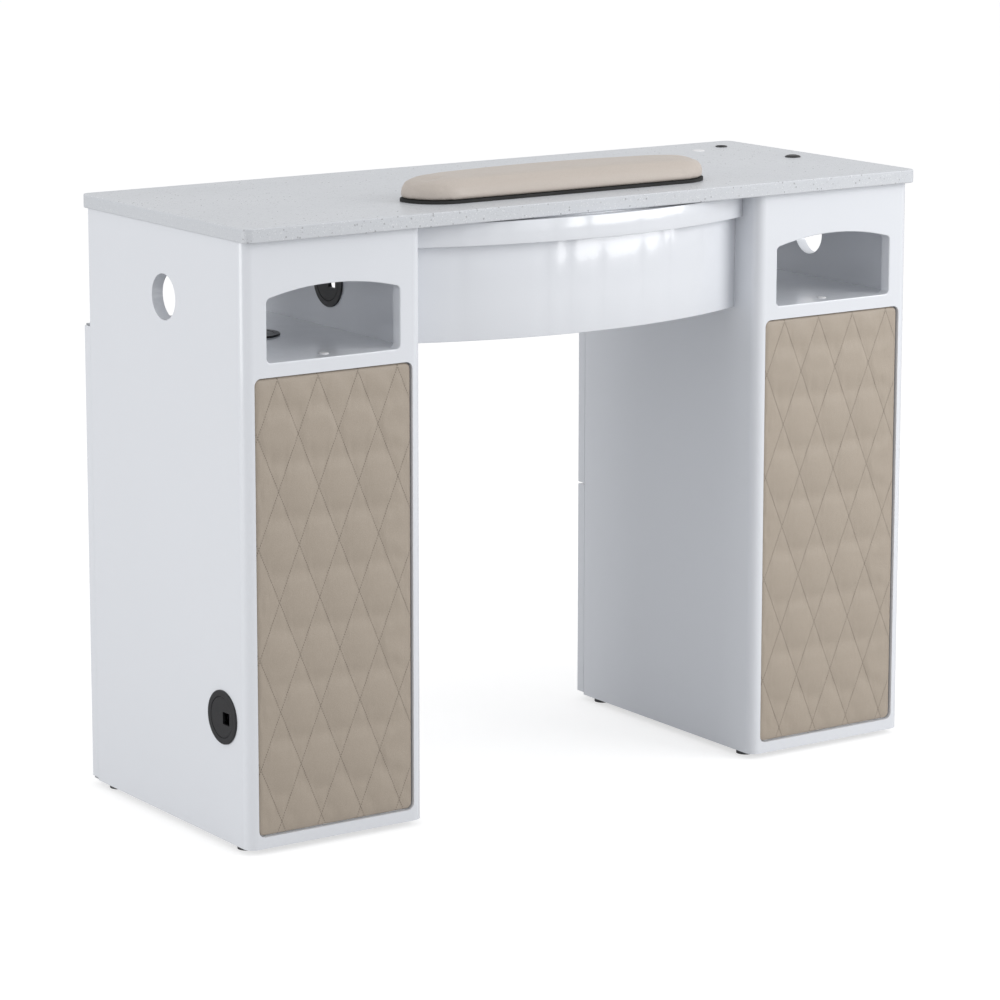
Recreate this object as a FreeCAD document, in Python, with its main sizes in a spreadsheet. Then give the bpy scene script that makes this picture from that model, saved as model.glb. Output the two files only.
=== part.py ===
"""Manicure table: two pedestals, a stone top, a bowed apron and a loose wrist rest.

Units are millimetres. The origin is on the floor under the middle of the table.
+X runs along the table to the customer's right, -Y faces the customer, +Z is up.
"""
import FreeCAD, Part
import math
import os
import re
import Sketcher

SIDES = (("left", -1), ("right", 1))

DIMENSIONS = {
    # stone top
    "slabLength": 1070, "slabDepth": 422, "slabThick": 18, "slabCorner": 12, "slabEase": 1.5,
    "slabRear": 204, "tableHeight": 800,
    # pedestal carcasses: x from the middle plane, y as a distance to the front or the rear
    "board": 16, "outerFace": 532, "innerFace": 269, "frontFace": 206, "carcassRear": 189,
    "glideHeight": 8, "glideRadius": 12, "glideInset": 20, "glideSetback": 40,
    "faceCorner": 14, "edgeEase": 1.5, "cubbyFloor": 629, "subTopThick": 16,
    # arched mouth of the open compartment
    "mouthHalf": 98, "mouthCrown": 722, "mouthArch": 376, "mouthCorner": 6,
    # quilted pad set into the front board
    "padInset": 15, "padBottom": 23, "padTop": 611, "padRecess": 8, "padThick": 9,
    "padGap": 1.2, "padCorner": 8, "recessCorner": 9.2,
    # cable holes and the grommets in them
    "cableRadius": 30, "cableFront": 8, "cableHeight": 690, "lowFront": 145, "lowHeight": 170,
    "flangeRadius": 35, "flangeThick": 2.5, "barrelRadius": 29.8, "barrelBore": 27,
    "barrelLength": 20, "seatBore": 25, "seatThick": 1.6, "seatDepth": 3.6,
    "capRadius": 26.8, "capThick": 3.4, "slotWide": 16, "slotNear": 3, "slotFar": 19,
    # fittings in the top
    "socketEast": 476, "socketNorth": 144, "socketBore": 6.4, "socketWall": 7.6,
    "socketFlange": 8.4, "socketRise": 1.5,
    "plugEast": 484, "plugSouth": 10, "plugHole": 8.2, "plugStem": 8, "plugHead": 11,
    "plugRim": 1.2, "plugShoulder": 9, "plugRise": 2.4, "plugFlat": 5.5, "plugDome": 3.2, "plugLong": 20,
    "blankEast": 418, "blankNorth": 122, "blankHole": 6.2, "blankStem": 6, "blankHead": 8.8,
    "blankRise": 1.2, "blankLong": 9, "blankDeep": 10, "plasticBevel": 0.7,
    # bowed apron, the rail planted on it and the stretcher under the top
    "bowRadius": 653, "bowMiddle": 214, "bowBottom": 625, "railThick": 15, "railBottom": 750,
    "railTop": 780, "stretcherNear": 80, "stretcherWide": 90,
    # door and drawer fronts
    "frontGap": 2, "frontThick": 16, "frontInset": 1, "frontsBottom": 11, "frontsTop": 625,
    "lowerFrontTop": 319, "upperFrontBottom": 322,
    # pivot hinges of the door and its magnetic catch
    "pivotInset": 5, "pivotRadius": 2.5, "pivotHole": 2.55, "pivotPin": 12, "pivotPlate": 2.4,
    "pivotPlay": 0.3, "pivotLeg": 26, "pivotWide": 13, "pivotLegThick": 1.5, "pivotLegInset": 11,
    "pivotEdge": 1.5,
    "catchWide": 15, "catchDeep": 20, "catchTall": 46, "catchTop": 606, "catchPlay": 1.5,
    "strikeThick": 1.2,
    # shelf behind the door
    "shelfBottom": 310, "shelfDepth": 350, "shelfPlay": 1, "pinRadius": 2.5, "pinOut": 9,
    "pinInset": 40,
    # drawer boxes and their slides
    "boxSide": 12, "boxTall": 210, "boxBottom": 5, "boxGroove": 6, "boxLift": 12,
    "boxDepth": 350, "lowerBox": 34, "upperBox": 345,
    "slideSpace": 12.7, "slideLong": 350, "slideWeb": 1.2, "slideTall": 35, "slideDeep": 9,
    "runnerTall": 27, "runnerDeep": 9.5, "slideMiddle": 60, "slideSetback": 2,
    # bow handles
    "handleSpan": 96, "handleRod": 4.5, "handleReach": 22, "handleBend": 12,
    "doorHandleInset": 32, "doorHandleMiddle": 470,
    # wrist rest
    "restHalf": 236, "restFront": 163, "restDepth": 118, "restCorner": 54, "restBase": 4,
    "restPad": 28, "restCrown": 13, "restPadInset": 1.5,
}

doc = FreeCAD.newDocument("manicure_table")
nodes = []


def make_sheet():
    """Put the driving dimensions in a spreadsheet, one aliased cell each."""
    table = doc.addObject("Spreadsheet::Sheet", "dims")
    for row, (alias, value) in enumerate(DIMENSIONS.items(), start=1):
        table.set(f"A{row}", alias)
        table.set(f"B{row}", str(value))
        table.setAlias(f"B{row}", alias)
    doc.recompute()
    return table


sheet = make_sheet()


def dim(alias):
    """Value of one driving dimension."""
    return float(sheet.get(alias))


def bound(text):
    """Formula with every dimension's name turned into a reference to the sheet."""
    return re.sub(r"[A-Za-z]\w*", lambda word: f"dims.{word[0]}" if word[0] in DIMENSIONS else word[0], text)


def drive(item, **formulas):
    """Bind properties of an object to formulas over the sheet."""
    for name, text in formulas.items():
        item.setExpression(name, bound(text))


def place(item, x="0", y="0", z="0", axis=None, degrees=0):
    """Turn an object, then bind its position to formulas over the sheet."""
    if axis:
        item.Placement = FreeCAD.Placement(FreeCAD.Vector(), FreeCAD.Rotation(FreeCAD.Vector(*axis), degrees))
    for letter, text in zip("xyz", (x, y, z)):
        item.setExpression(f"Placement.Base.{letter}", bound(text))
    return item


def node(label, item):
    """Name a finished sub-part and list it for export."""
    item.Label = label
    nodes.append(item)
    return item


def span(side, near, far):
    """Lowest x of a stretch that runs from near to far on one side of the middle plane."""
    return f"({near})" if side > 0 else f"-({far})"


# ---------------------------------------------------------------- primitives and booleans

def box(name, x, y, z, dx, dy, dz):
    """Box from its low corner, with formulas for its place and its size."""
    item = doc.addObject("Part::Box", name)
    drive(item, Length=dx, Width=dy, Height=dz)
    return place(item, x, y, z)


def cylinder(name, x, y, z, radius, height, direction="z"):
    """Cylinder from the middle of its first end along +X, +Y or +Z."""
    item = doc.addObject("Part::Cylinder", name)
    drive(item, Radius=radius, Height=height)
    axis, degrees = {"x": ((0, 1, 0), 90), "y": ((1, 0, 0), -90), "z": (None, 0)}[direction]
    return place(item, x, y, z, axis, degrees)


def pair(kind, name, base, tool):
    """Boolean of two objects."""
    item = doc.addObject(kind, name)
    item.Base = base
    item.Tool = tool
    return item


def cut(name, base, *tools):
    """Base with each tool taken away in turn."""
    for number, tool in enumerate(tools):
        base = pair("Part::Cut", f"{name}_cut{number}", base, tool)
    return base


def group(name, items):
    """Separate solids kept together as one sub-part."""
    item = doc.addObject("Part::Compound", f"{name}_group")
    item.Links = items
    return item


def rounded(name, base, radius, chosen):
    """Base with rounded edges; chosen is asked about each edge's middle and direction."""
    doc.recompute()
    picks = []
    for number, edge in enumerate(base.Shape.Edges, start=1):
        halfway = (edge.FirstParameter + edge.LastParameter) / 2
        if chosen(edge.valueAt(halfway), edge.tangentAt(halfway)):
            picks.append((number, dim(radius), dim(radius)))
    item = doc.addObject("Part::Fillet", f"{name}_round_{radius}")
    item.Base = base
    item.Edges = picks
    return item


def along(axis):
    """Chooser for the edges that run along axis 0, 1 or 2."""
    return lambda middle, direction: abs(direction[axis]) > 0.99


def face_edges(axis, level):
    """Chooser for the edges that lie in the plane at one level of an axis."""
    return lambda middle, direction: abs(middle[axis] - level) < 0.01 and abs(direction[axis]) < 0.01


# ---------------------------------------------------------------- sketched bodies

def new_sketch(body, name, role):
    """Sketch on one of the body's own origin planes."""
    sketch = body.newObject("Sketcher::SketchObject", f"{body.Name}_{name}")
    plane = next(item for item in body.Origin.OriginFeatures if item.Role == role)
    sketch.AttachmentSupport = [(plane, "")]
    sketch.MapMode = "FlatFace"
    return sketch


def tie(sketch, geometry, point, x, y):
    """Hold one point of a sketch at a pair of formulas, measured from the sketch's origin."""
    for kind, text in (("DistanceX", x), ("DistanceY", y)):
        index = sketch.addConstraint(Sketcher.Constraint(kind, -1, 1, geometry, point, 1.0))
        sketch.setExpression(f"Constraints[{index}]", bound(text))


def outline(sketch, corners):
    """Closed outline of straight lines, each corner held by a pair of formulas."""
    count = len(corners)
    first = sketch.GeometryCount
    rough = [FreeCAD.Vector(10 * number, 7 * number * number, 0) for number in range(count)]
    for number in range(count):
        sketch.addGeometry(Part.LineSegment(rough[number], rough[(number + 1) % count]), False)
    for number in range(count):
        follow = first + (number + 1) % count
        sketch.addConstraint(Sketcher.Constraint("Coincident", first + number, 2, follow, 1))
    for number, (x, y) in enumerate(corners):
        tie(sketch, first + number, 1, x, y)


def circle(sketch, x, y, radius):
    """Circle whose centre and radius are formulas."""
    number = sketch.addGeometry(Part.Circle(FreeCAD.Vector(5, 5, 0), FreeCAD.Vector(0, 0, 1), 3), False)
    tie(sketch, number, 3, x, y)
    index = sketch.addConstraint(Sketcher.Constraint("Radius", number, 3.0))
    sketch.setExpression(f"Constraints[{index}]", bound(radius))


def feature(body, kind, name, sketch, **formulas):
    """PartDesign feature made from a sketch."""
    item = body.newObject(f"PartDesign::{kind}", f"{body.Name}_{name}")
    item.Profile = sketch
    drive(item, **formulas)
    return item


def fillet(body, base, name, radius, chosen):
    """PartDesign fillet of the chosen edges of a feature."""
    doc.recompute()
    names = []
    for number, edge in enumerate(base.Shape.Edges, start=1):
        halfway = (edge.FirstParameter + edge.LastParameter) / 2
        if chosen(edge.valueAt(halfway), edge.tangentAt(halfway)):
            names.append(f"Edge{number}")
    item = body.newObject("PartDesign::Fillet", f"{body.Name}_{name}")
    item.Base = (base, names)
    drive(item, Radius=radius)
    return item


def turned(name, corners):
    """Body turned about +Z from an outline of radius and height pairs."""
    body = doc.addObject("PartDesign::Body", name)
    sketch = new_sketch(body, "profile", "XZ_Plane")
    outline(sketch, corners)
    item = body.newObject("PartDesign::Revolution", f"{name}_turned")
    item.Profile = sketch
    item.ReferenceAxis = (sketch, ["V_Axis"])
    item.Angle = 360
    return body


# ---------------------------------------------------------------- stone top

def worktop():
    """Slab with rounded corners, eased edges and holes for its three fittings."""
    body = doc.addObject("PartDesign::Body", "worktop_body")
    sketch = new_sketch(body, "plan", "XY_Plane")
    outline(sketch, (("0", "0"), ("slabLength", "0"), ("slabLength", "slabDepth"), ("0", "slabDepth")))
    pad = feature(body, "Pad", "pad", sketch, Length="slabThick")
    corners = fillet(body, pad, "corners", "slabCorner", along(2))
    flat = (face_edges(2, 0), face_edges(2, dim("slabThick")))
    eased = fillet(body, corners, "eased", "slabEase", lambda m, d: flat[0](m, d) or flat[1](m, d))
    body.Tip = eased
    place(body, "-slabLength / 2", "slabRear - slabDepth", "tableHeight - slabThick")
    low = "tableHeight - slabThick - 1"
    socket = cylinder("socket_hole", "socketEast", "socketNorth", low, "socketWall", "slabThick + 2")
    plug = cylinder("plug_hole", "plugEast", "-plugSouth", low, "plugHole", "slabThick + 2")
    blank = cylinder("blank_hole", "blankEast", "blankNorth", "tableHeight - blankDeep", "blankHole",
                     "blankDeep + 1")
    node("worktop", cut("worktop", body, socket, plug, blank))


def top_fittings():
    """Lamp socket, domed cable plug and the cap over the spare hole."""
    wall = "slabThick"
    socket = turned("lamp_socket_body", (
        ("socketBore", "0"), ("socketWall", "0"), ("socketWall", wall), ("socketFlange", wall),
        ("socketFlange", f"{wall} + socketRise"), ("socketBore", f"{wall} + socketRise")))
    node("lamp_socket", place(socket, "socketEast", "socketNorth", "tableHeight - slabThick"))
    plug = turned("cable_plug_body", (
        ("0", "0"), ("plugStem", "0"), ("plugStem", "plugLong"), ("plugHead", "plugLong"),
        ("plugHead", "plugLong + plugRim"), ("plugShoulder", "plugLong + plugRise"),
        ("plugFlat", "plugLong + plugDome"), ("0", "plugLong + plugDome")))
    node("cable_plug", place(plug, "plugEast", "-plugSouth", "tableHeight - plugLong"))
    blank = turned("blanking_cap_body", (
        ("0", "0"), ("blankStem", "0"), ("blankStem", "blankLong"), ("blankHead", "blankLong"),
        ("blankHead - plasticBevel", "blankLong + blankRise"), ("0", "blankLong + blankRise")))
    node("blanking_cap", place(blank, "blankEast", "blankNorth", "tableHeight - blankLong"))


# ---------------------------------------------------------------- pedestal carcasses

def carcass_depth():
    """Formula for the depth of the boards behind the front board."""
    return "carcassRear + frontFace - board"


def side_boards(word, side):
    """Outer and inner side boards with their cable holes."""
    tall = "tableHeight - slabThick - glideHeight"
    for place_word, near, far in (("outer", "outerFace - board", "outerFace"),
                                  ("inner", "innerFace", "innerFace + board")):
        name = f"{word}_side_{place_word}"
        low = span(side, near, far)
        board = box(f"{name}_board", low, "board - frontFace", "glideHeight", "board", carcass_depth(), tall)
        heights = [("cableFront", "cableHeight")]
        if place_word == "outer":
            heights.append(("lowFront", "lowHeight"))
        holes = [cylinder(f"{name}_hole{number}", f"{low} - 1", f"-{front}", height, "cableRadius",
                          "board + 2", "x") for number, (front, height) in enumerate(heights)]
        node(name, cut(name, board, *holes))


def arched_mouth(word, side):
    """Tool for the mouth of the open compartment: a low arch with softened corners."""
    low = span(side, "(innerFace + outerFace) / 2 - mouthHalf", "(innerFace + outerFace) / 2 + mouthHalf")
    middle = span(side, "(innerFace + outerFace) / 2", "(innerFace + outerFace) / 2")
    block = box(f"{word}_mouth_block", low, "-frontFace - 5", "cubbyFloor", "2 * mouthHalf", "board + 10",
                "mouthCrown - cubbyFloor + 20")
    arch = cylinder(f"{word}_mouth_arch", middle, "-frontFace - 5", "mouthCrown - mouthArch", "mouthArch",
                    "board + 10", "y")
    mouth = pair("Part::Common", f"{word}_mouth", block, arch)
    return rounded(f"{word}_mouth", mouth, "mouthCorner", along(1))


def front_board(word, side):
    """Front board with rounded outer corners, an arched mouth and a recess for the pad."""
    name = f"{word}_front_board"
    tall = "tableHeight - slabThick - glideHeight"
    board = box(f"{word}_front", span(side, "innerFace", "outerFace"), "-frontFace", "glideHeight",
                "outerFace - innerFace", "board", tall)
    front = -dim("frontFace")
    corners = rounded(name, board, "faceCorner", lambda m, d: abs(d.z) > 0.99 and abs(m.y - front) < 0.01)
    recess = box(f"{word}_recess", span(side, "innerFace + padInset", "outerFace - padInset"),
                 "-frontFace - 1", "padBottom", "outerFace - innerFace - 2 * padInset", "padRecess + 1",
                 "padTop - padBottom")
    soft = rounded(f"{word}_recess", recess, "recessCorner", along(1))
    opened = cut(name, corners, arched_mouth(word, side), soft)
    crown = dim("mouthCrown") + 1
    low = dim("cubbyFloor") - 1
    rim = rounded(name, opened, "edgeEase",
                  lambda m, d: face_edges(1, front)(m, d) and low < m.z < crown and
                  abs(abs(m.x) - (dim("innerFace") + dim("outerFace")) / 2) < dim("mouthHalf") + 1)
    node(name, rim)


def inner_boards(word, side):
    """Compartment floor, sub-top and bottom board between the two side boards."""
    low = span(side, "innerFace + board", "outerFace - board")
    wide = "outerFace - innerFace - 2 * board"
    middle = span(side, "(innerFace + outerFace) / 2", "(innerFace + outerFace) / 2")
    floor = box(f"{word}_floor", low, "board - frontFace", "cubbyFloor - board", wide, carcass_depth(), "board")
    hole = cylinder(f"{word}_floor_hole", middle, "-cableFront", "cubbyFloor - board - 1", "cableRadius",
                    "board + 2")
    node(f"{word}_cubby_floor", cut(f"{word}_floor", floor, hole))
    sub_top = box(f"{word}_sub_top_board", low, "board - frontFace", "tableHeight - slabThick - subTopThick",
                  wide, carcass_depth(), "subTopThick")
    if side > 0:
        hole = cylinder("sub_top_hole", "plugEast", "-plugSouth", "tableHeight - slabThick - subTopThick - 1",
                        "plugHole", "subTopThick + 2")
        sub_top = cut("right_sub_top", sub_top, hole)
    node(f"{word}_sub_top", sub_top)
    node(f"{word}_bottom_board", box(f"{word}_bottom", low, "board - frontFace", "glideHeight", wide,
                                     carcass_depth(), "board"))


def pad_panel(word, side):
    """Plain solid of the quilted pad that fills the recess of the front board."""
    inset = "(padInset + padGap)"
    solid = box(f"{word}_pad", span(side, f"innerFace + {inset}", f"outerFace - {inset}"),
                "padRecess - padThick - frontFace", "padBottom + padGap",
                f"outerFace - innerFace - 2 * {inset}", "padThick", "padTop - padBottom - 2 * padGap")
    node(f"{word}_pad_panel", rounded(f"{word}_pad", solid, "padCorner", along(1)))


def glides():
    """Plastic glides under the corners of both pedestals."""
    feet = []
    for word, side in SIDES:
        for x in ("innerFace + glideInset", "outerFace - glideInset"):
            for y in ("glideSetback - frontFace", "carcassRear - glideInset"):
                feet.append(cylinder(f"{word}_glide", span(side, x, x), y, "0", "glideRadius", "glideHeight"))
    node("glides", group("glides", feet))


# ---------------------------------------------------------------- cable grommets

def grommet_ring(name):
    """Flanged ring with a barrel and a narrow seat for its cap; the flange rests at height 0."""
    top = "barrelLength + flangeThick"
    seat = "barrelLength + flangeThick - seatDepth"
    return turned(name, (
        ("barrelBore", "0"), ("barrelRadius", "0"), ("barrelRadius", "barrelLength"),
        ("flangeRadius", "barrelLength"), ("flangeRadius", f"{top} - plasticBevel"), ("flangeRadius - plasticBevel", top),
        ("barrelBore", top), ("barrelBore", seat), ("seatBore", seat),
        ("seatBore", f"{seat} - seatThick"), ("barrelBore", f"{seat} - seatThick")))


def grommet_cap(name):
    """Round cap with a slot for the cable towards its rim."""
    body = turned(name, (
        ("0", "0"), ("capRadius", "0"), ("capRadius", "capThick - plasticBevel"), ("capRadius - plasticBevel", "capThick"),
        ("0", "capThick")))
    sketch = new_sketch(body, "slot", "XY_Plane")
    outline(sketch, (("slotNear", "-slotWide / 2"), ("slotFar", "-slotWide / 2"),
                     ("slotFar", "slotWide / 2"), ("slotNear", "slotWide / 2")))
    slot = feature(body, "Pocket", "slot_cut", sketch)
    slot.Type = "ThroughAll"
    slot.Midplane = True
    body.Tip = slot
    return body


def grommet_places():
    """Name, turn and face centre of every grommet; its cap faces away from the board."""
    places = []
    for word, side in SIDES:
        middle = span(side, "(innerFace + outerFace) / 2", "(innerFace + outerFace) / 2")
        outward = FreeCAD.Rotation(FreeCAD.Vector(0, -1, 0), FreeCAD.Vector(), FreeCAD.Vector(side, 0, 0), "XZY")
        places.append((f"{word}_low", outward, (span(side, "outerFace", "outerFace"), "-lowFront", "lowHeight")))
        places.append((f"{word}_inner", outward,
                       (span(side, "innerFace + board", "innerFace + board"), "-cableFront", "cableHeight")))
        flat = FreeCAD.Rotation(FreeCAD.Vector(0, -1, 0), FreeCAD.Vector(), FreeCAD.Vector(0, 0, 1), "XZY")
        places.append((f"{word}_floor", flat, (middle, "-cableFront", "cubbyFloor")))
    return places


def set_grommet(body, rotation, face, depth):
    """Turn a grommet piece and set it so far below the board's face."""
    outward = rotation.multVec(FreeCAD.Vector(0, 0, 1))
    body.Placement = FreeCAD.Placement(FreeCAD.Vector(), rotation)
    for letter, text, part in zip("xyz", face, outward):
        body.setExpression(f"Placement.Base.{letter}", bound(f"{text} - ({round(part)}) * ({depth})"))


def grommets():
    """Six rings as one sub-part, and six caps that pull out one by one."""
    rings = []
    for name, rotation, face in grommet_places():
        ring = grommet_ring(f"{name}_ring")
        set_grommet(ring, rotation, face, "barrelLength")
        rings.append(ring)
        cap = grommet_cap(f"{name}_cap_body")
        set_grommet(cap, rotation, face, "seatDepth - flangeThick")
        node(f"{name}_grommet_cap", cap)
    node("grommet_rings", group("grommet_rings", rings))


# ---------------------------------------------------------------- bowed apron and stretcher

def bowed_board(name, radius, thick, bottom, tall):
    """Upright board that follows an arc between the two pedestals."""
    middle = "bowRadius - bowMiddle"
    outer = cylinder(f"{name}_outer", "0", middle, bottom, radius, tall)
    inner = cylinder(f"{name}_inner", "0", middle, f"{bottom} - 1", f"{radius} - {thick}", f"{tall} + 2")
    shell = cut(f"{name}_shell", outer, inner)
    block = box(f"{name}_block", "-innerFace", "-frontFace - 100", f"{bottom} - 1", "2 * innerFace",
                "frontFace", f"{tall} + 2")
    return node(name, pair("Part::Common", f"{name}_bowed", shell, block))


def apron():
    """Bowed apron panel, the rail planted on its upper edge and a flat stretcher behind."""
    bowed_board("apron_panel", "bowRadius", "board", "bowBottom", "tableHeight - slabThick - bowBottom")
    bowed_board("apron_rail", "bowRadius + railThick", "railThick", "railBottom", "railTop - railBottom")
    node("stretcher", box("stretcher_board", "-innerFace", "stretcherNear",
                          "tableHeight - slabThick - board", "2 * innerFace", "stretcherWide", "board"))


# ---------------------------------------------------------------- door and its fittings

def front_panel(name, x, z, dx, dz):
    """Overlay front with eased edges on its outer face."""
    panel = box(name, x, "carcassRear + frontGap", z, dx, "frontThick", dz)
    outer = dim("carcassRear") + dim("frontGap") + dim("frontThick")
    return rounded(name, panel, "edgeEase", face_edges(1, outer))


def bow_handle(label, x, z, upright):
    """Round rod bent into a bow handle, standing off the fronts' outer face."""
    body = doc.addObject("PartDesign::Body", f"{label}_body")
    path = new_sketch(body, "path", "XY_Plane")
    half = dim("handleSpan") / 2
    bend = dim("handleBend")
    rise = dim("handleReach") - dim("handleRod")
    points = [FreeCAD.Vector(*point, 0) for point in (
        (-half, 0), (-half, rise - bend), (-half + bend, rise), (half - bend, rise), (half, rise - bend), (half, 0))]
    slack = bend * (1 - 2 ** -0.5)
    path.addGeometry(Part.LineSegment(points[0], points[1]), False)
    path.addGeometry(Part.Arc(points[1], FreeCAD.Vector(-half + slack, rise - slack, 0), points[2]), False)
    path.addGeometry(Part.LineSegment(points[2], points[3]), False)
    path.addGeometry(Part.Arc(points[3], FreeCAD.Vector(half - slack, rise - slack, 0), points[4]), False)
    path.addGeometry(Part.LineSegment(points[4], points[5]), False)
    section = new_sketch(body, "section", "XZ_Plane")
    circle(section, "-handleSpan / 2", "0", "handleRod")
    doc.recompute()
    pipe = body.newObject("PartDesign::AdditivePipe", f"{label}_pipe")
    pipe.Profile = section
    pipe.Spine = (path, [f"Edge{number}" for number in range(1, 6)])
    body.Tip = pipe
    if upright:
        place(body, x, "carcassRear + frontGap + frontThick", z, (0, 1, 0), 90)
    else:
        place(body, x, "carcassRear + frontGap + frontThick", z)
    node(label, body)


def door():
    """Left door with holes for its pivots, the pivot brackets, the handle and the catch."""
    low = "-(outerFace - frontInset)"
    wide = "outerFace - innerFace - 2 * frontInset"
    axis_x = "frontInset + pivotInset - outerFace"
    axis_y = "carcassRear + frontGap + frontThick / 2"
    panel = front_panel("door_panel", low, "frontsBottom", wide, "frontsTop - frontsBottom")
    deep = "pivotPin + 2 * pivotPlay"
    holes = [cylinder("pivot_hole_low", axis_x, axis_y, "frontsBottom - 1", "pivotHole", f"{deep} + 1"),
             cylinder("pivot_hole_high", axis_x, axis_y, f"frontsTop - ({deep})", "pivotHole", f"{deep} + 1")]
    node("door", cut("door", panel, *holes))

    leg_x = "pivotLegInset - outerFace"
    tongue_x = f"{axis_x} - pivotRadius - pivotEdge"
    tongue_wide = f"{leg_x} + pivotWide - ({tongue_x})"
    tongue_deep = "frontGap + frontThick / 2 + pivotRadius + pivotEdge"
    brackets = []
    for word, plate, pin, leg in (
            ("low", "frontsBottom - pivotPlay - pivotPlate", "frontsBottom - pivotPlay",
             "frontsBottom - pivotPlay - pivotPlate"),
            ("high", "frontsTop + pivotPlay", "frontsTop + pivotPlay - pivotPin",
             "frontsTop + pivotPlay + pivotPlate - pivotLeg")):
        tongue = box(f"{word}_tongue", tongue_x, "carcassRear", plate, tongue_wide, tongue_deep, "pivotPlate")
        back = box(f"{word}_leg", leg_x, "carcassRear", leg, "pivotWide", "pivotLegThick", "pivotLeg")
        shaft = cylinder(f"{word}_pin", axis_x, axis_y, pin, "pivotRadius", "pivotPin")
        bracket = pair("Part::Fuse", f"{word}_plate", tongue, back)
        brackets.append(pair("Part::Fuse", f"{word}_bracket", bracket, shaft))
    node("door_pivots", group("door_pivots", brackets))

    bow_handle("door_handle", "-(innerFace + doorHandleInset)", "doorHandleMiddle", True)
    catch_x = "-(innerFace + board + catchWide)"
    node("door_catch", box("catch_block", catch_x, "carcassRear - catchDeep - catchPlay + 1",
                           "catchTop - catchTall", "catchWide", "catchDeep", "catchTall"))
    node("door_strike", box("strike_plate", f"{catch_x} + 1", "carcassRear + frontGap - strikeThick",
                            "catchTop - catchTall + 2", "catchWide - 2", "strikeThick", "catchTall - 4"))


def shelf():
    """Loose shelf on four pins behind the door."""
    low = "-(outerFace - board - shelfPlay)"
    wide = "outerFace - innerFace - 2 * board - 2 * shelfPlay"
    rear = "carcassRear - shelfPlay - shelfDepth"
    node("door_shelf", box("shelf_board", low, rear, "shelfBottom", wide, "shelfDepth", "board"))
    pins = []
    for x in ("-(outerFace - board)", "-(innerFace + board + pinOut)"):
        for y in (f"{rear} + pinInset", "carcassRear - shelfPlay - pinInset"):
            pins.append(cylinder("shelf_pin", x, y, "shelfBottom - pinRadius", "pinRadius", "pinOut", "x"))
    node("shelf_pins", group("shelf_pins", pins))


# ---------------------------------------------------------------- drawers

def channel(name, wall, toward, middle, web, tall, deep):
    """Length of C section: its web stands at wall and its lips point toward +X or -X."""
    low = wall if toward > 0 else f"{wall} - {deep}"
    inner = f"{wall} + {web}" if toward > 0 else f"{wall} - {deep} - 1"
    rear = "carcassRear - slideSetback - slideLong"
    solid = box(name, low, rear, f"{middle} - {tall} / 2", deep, "slideLong", tall)
    hollow = box(f"{name}_hollow", inner, f"{rear} - 1", f"{middle} - {tall} / 2 + {web}",
                 f"{deep} - {web} + 1", "slideLong + 2", f"{tall} - 2 * {web}")
    return cut(name, solid, hollow)


def drawer(word, front_bottom, front_top, box_bottom):
    """Drawer of the right pedestal: front, box boards, runners and handle.

    Returns the two cabinet members of its slides.
    """
    front = front_panel(f"{word}_front_panel", "innerFace + frontInset", front_bottom,
                        "outerFace - innerFace - 2 * frontInset", f"{front_top} - {front_bottom}")
    node(f"{word}_drawer_front", front)
    near = "innerFace + board + slideSpace"
    far = "outerFace - board - slideSpace"
    rear = "carcassRear + frontGap"
    start = f"{rear} - boxDepth"
    wide = f"{far} - ({near})"
    groove = box(f"{word}_groove", f"{near} + boxSide - boxGroove", f"{start} - 1", f"{box_bottom} + boxLift",
                 f"{wide} - 2 * (boxSide - boxGroove)", "boxDepth + 2", "boxBottom")
    sides = [cut(f"{word}_{name}_side", box(f"{word}_{name}_board", x, start, box_bottom, "boxSide",
                                            "boxDepth", "boxTall"), groove)
             for name, x in (("near", near), ("far", f"{far} - boxSide"))]
    node(f"{word}_drawer_sides", group(f"{word}_drawer_sides", sides))
    node(f"{word}_drawer_back", box(f"{word}_back", f"{near} + boxSide", start,
                                    f"{box_bottom} + boxLift + boxBottom", f"{wide} - 2 * boxSide", "boxSide",
                                    "boxTall - boxLift - boxBottom"))
    node(f"{word}_drawer_bottom", box(f"{word}_bottom", f"{near} + boxSide - boxGroove", start,
                                      f"{box_bottom} + boxLift", f"{wide} - 2 * (boxSide - boxGroove)",
                                      "boxDepth", "boxBottom"))
    middle = f"({box_bottom} + slideMiddle)"
    runners = [channel(f"{word}_near_runner", near, -1, middle, "slideWeb", "runnerTall", "runnerDeep"),
               channel(f"{word}_far_runner", far, 1, middle, "slideWeb", "runnerTall", "runnerDeep")]
    node(f"{word}_drawer_runners", group(f"{word}_drawer_runners", runners))
    bow_handle(f"{word}_drawer_handle", "(innerFace + outerFace) / 2", f"({front_bottom} + {front_top}) / 2",
               False)
    return [channel(f"{word}_near_slide", "innerFace + board", 1, middle, "slideWeb", "slideTall", "slideDeep"),
            channel(f"{word}_far_slide", "outerFace - board", -1, middle, "slideWeb", "slideTall", "slideDeep")]


def drawers():
    """Two drawers one above the other, and the slide members screwed to the pedestal."""
    slides = drawer("lower", "frontsBottom", "lowerFrontTop", "lowerBox")
    slides += drawer("upper", "upperFrontBottom", "frontsTop", "upperBox")
    node("drawer_slides", group("drawer_slides", slides))


# ---------------------------------------------------------------- wrist rest

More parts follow.
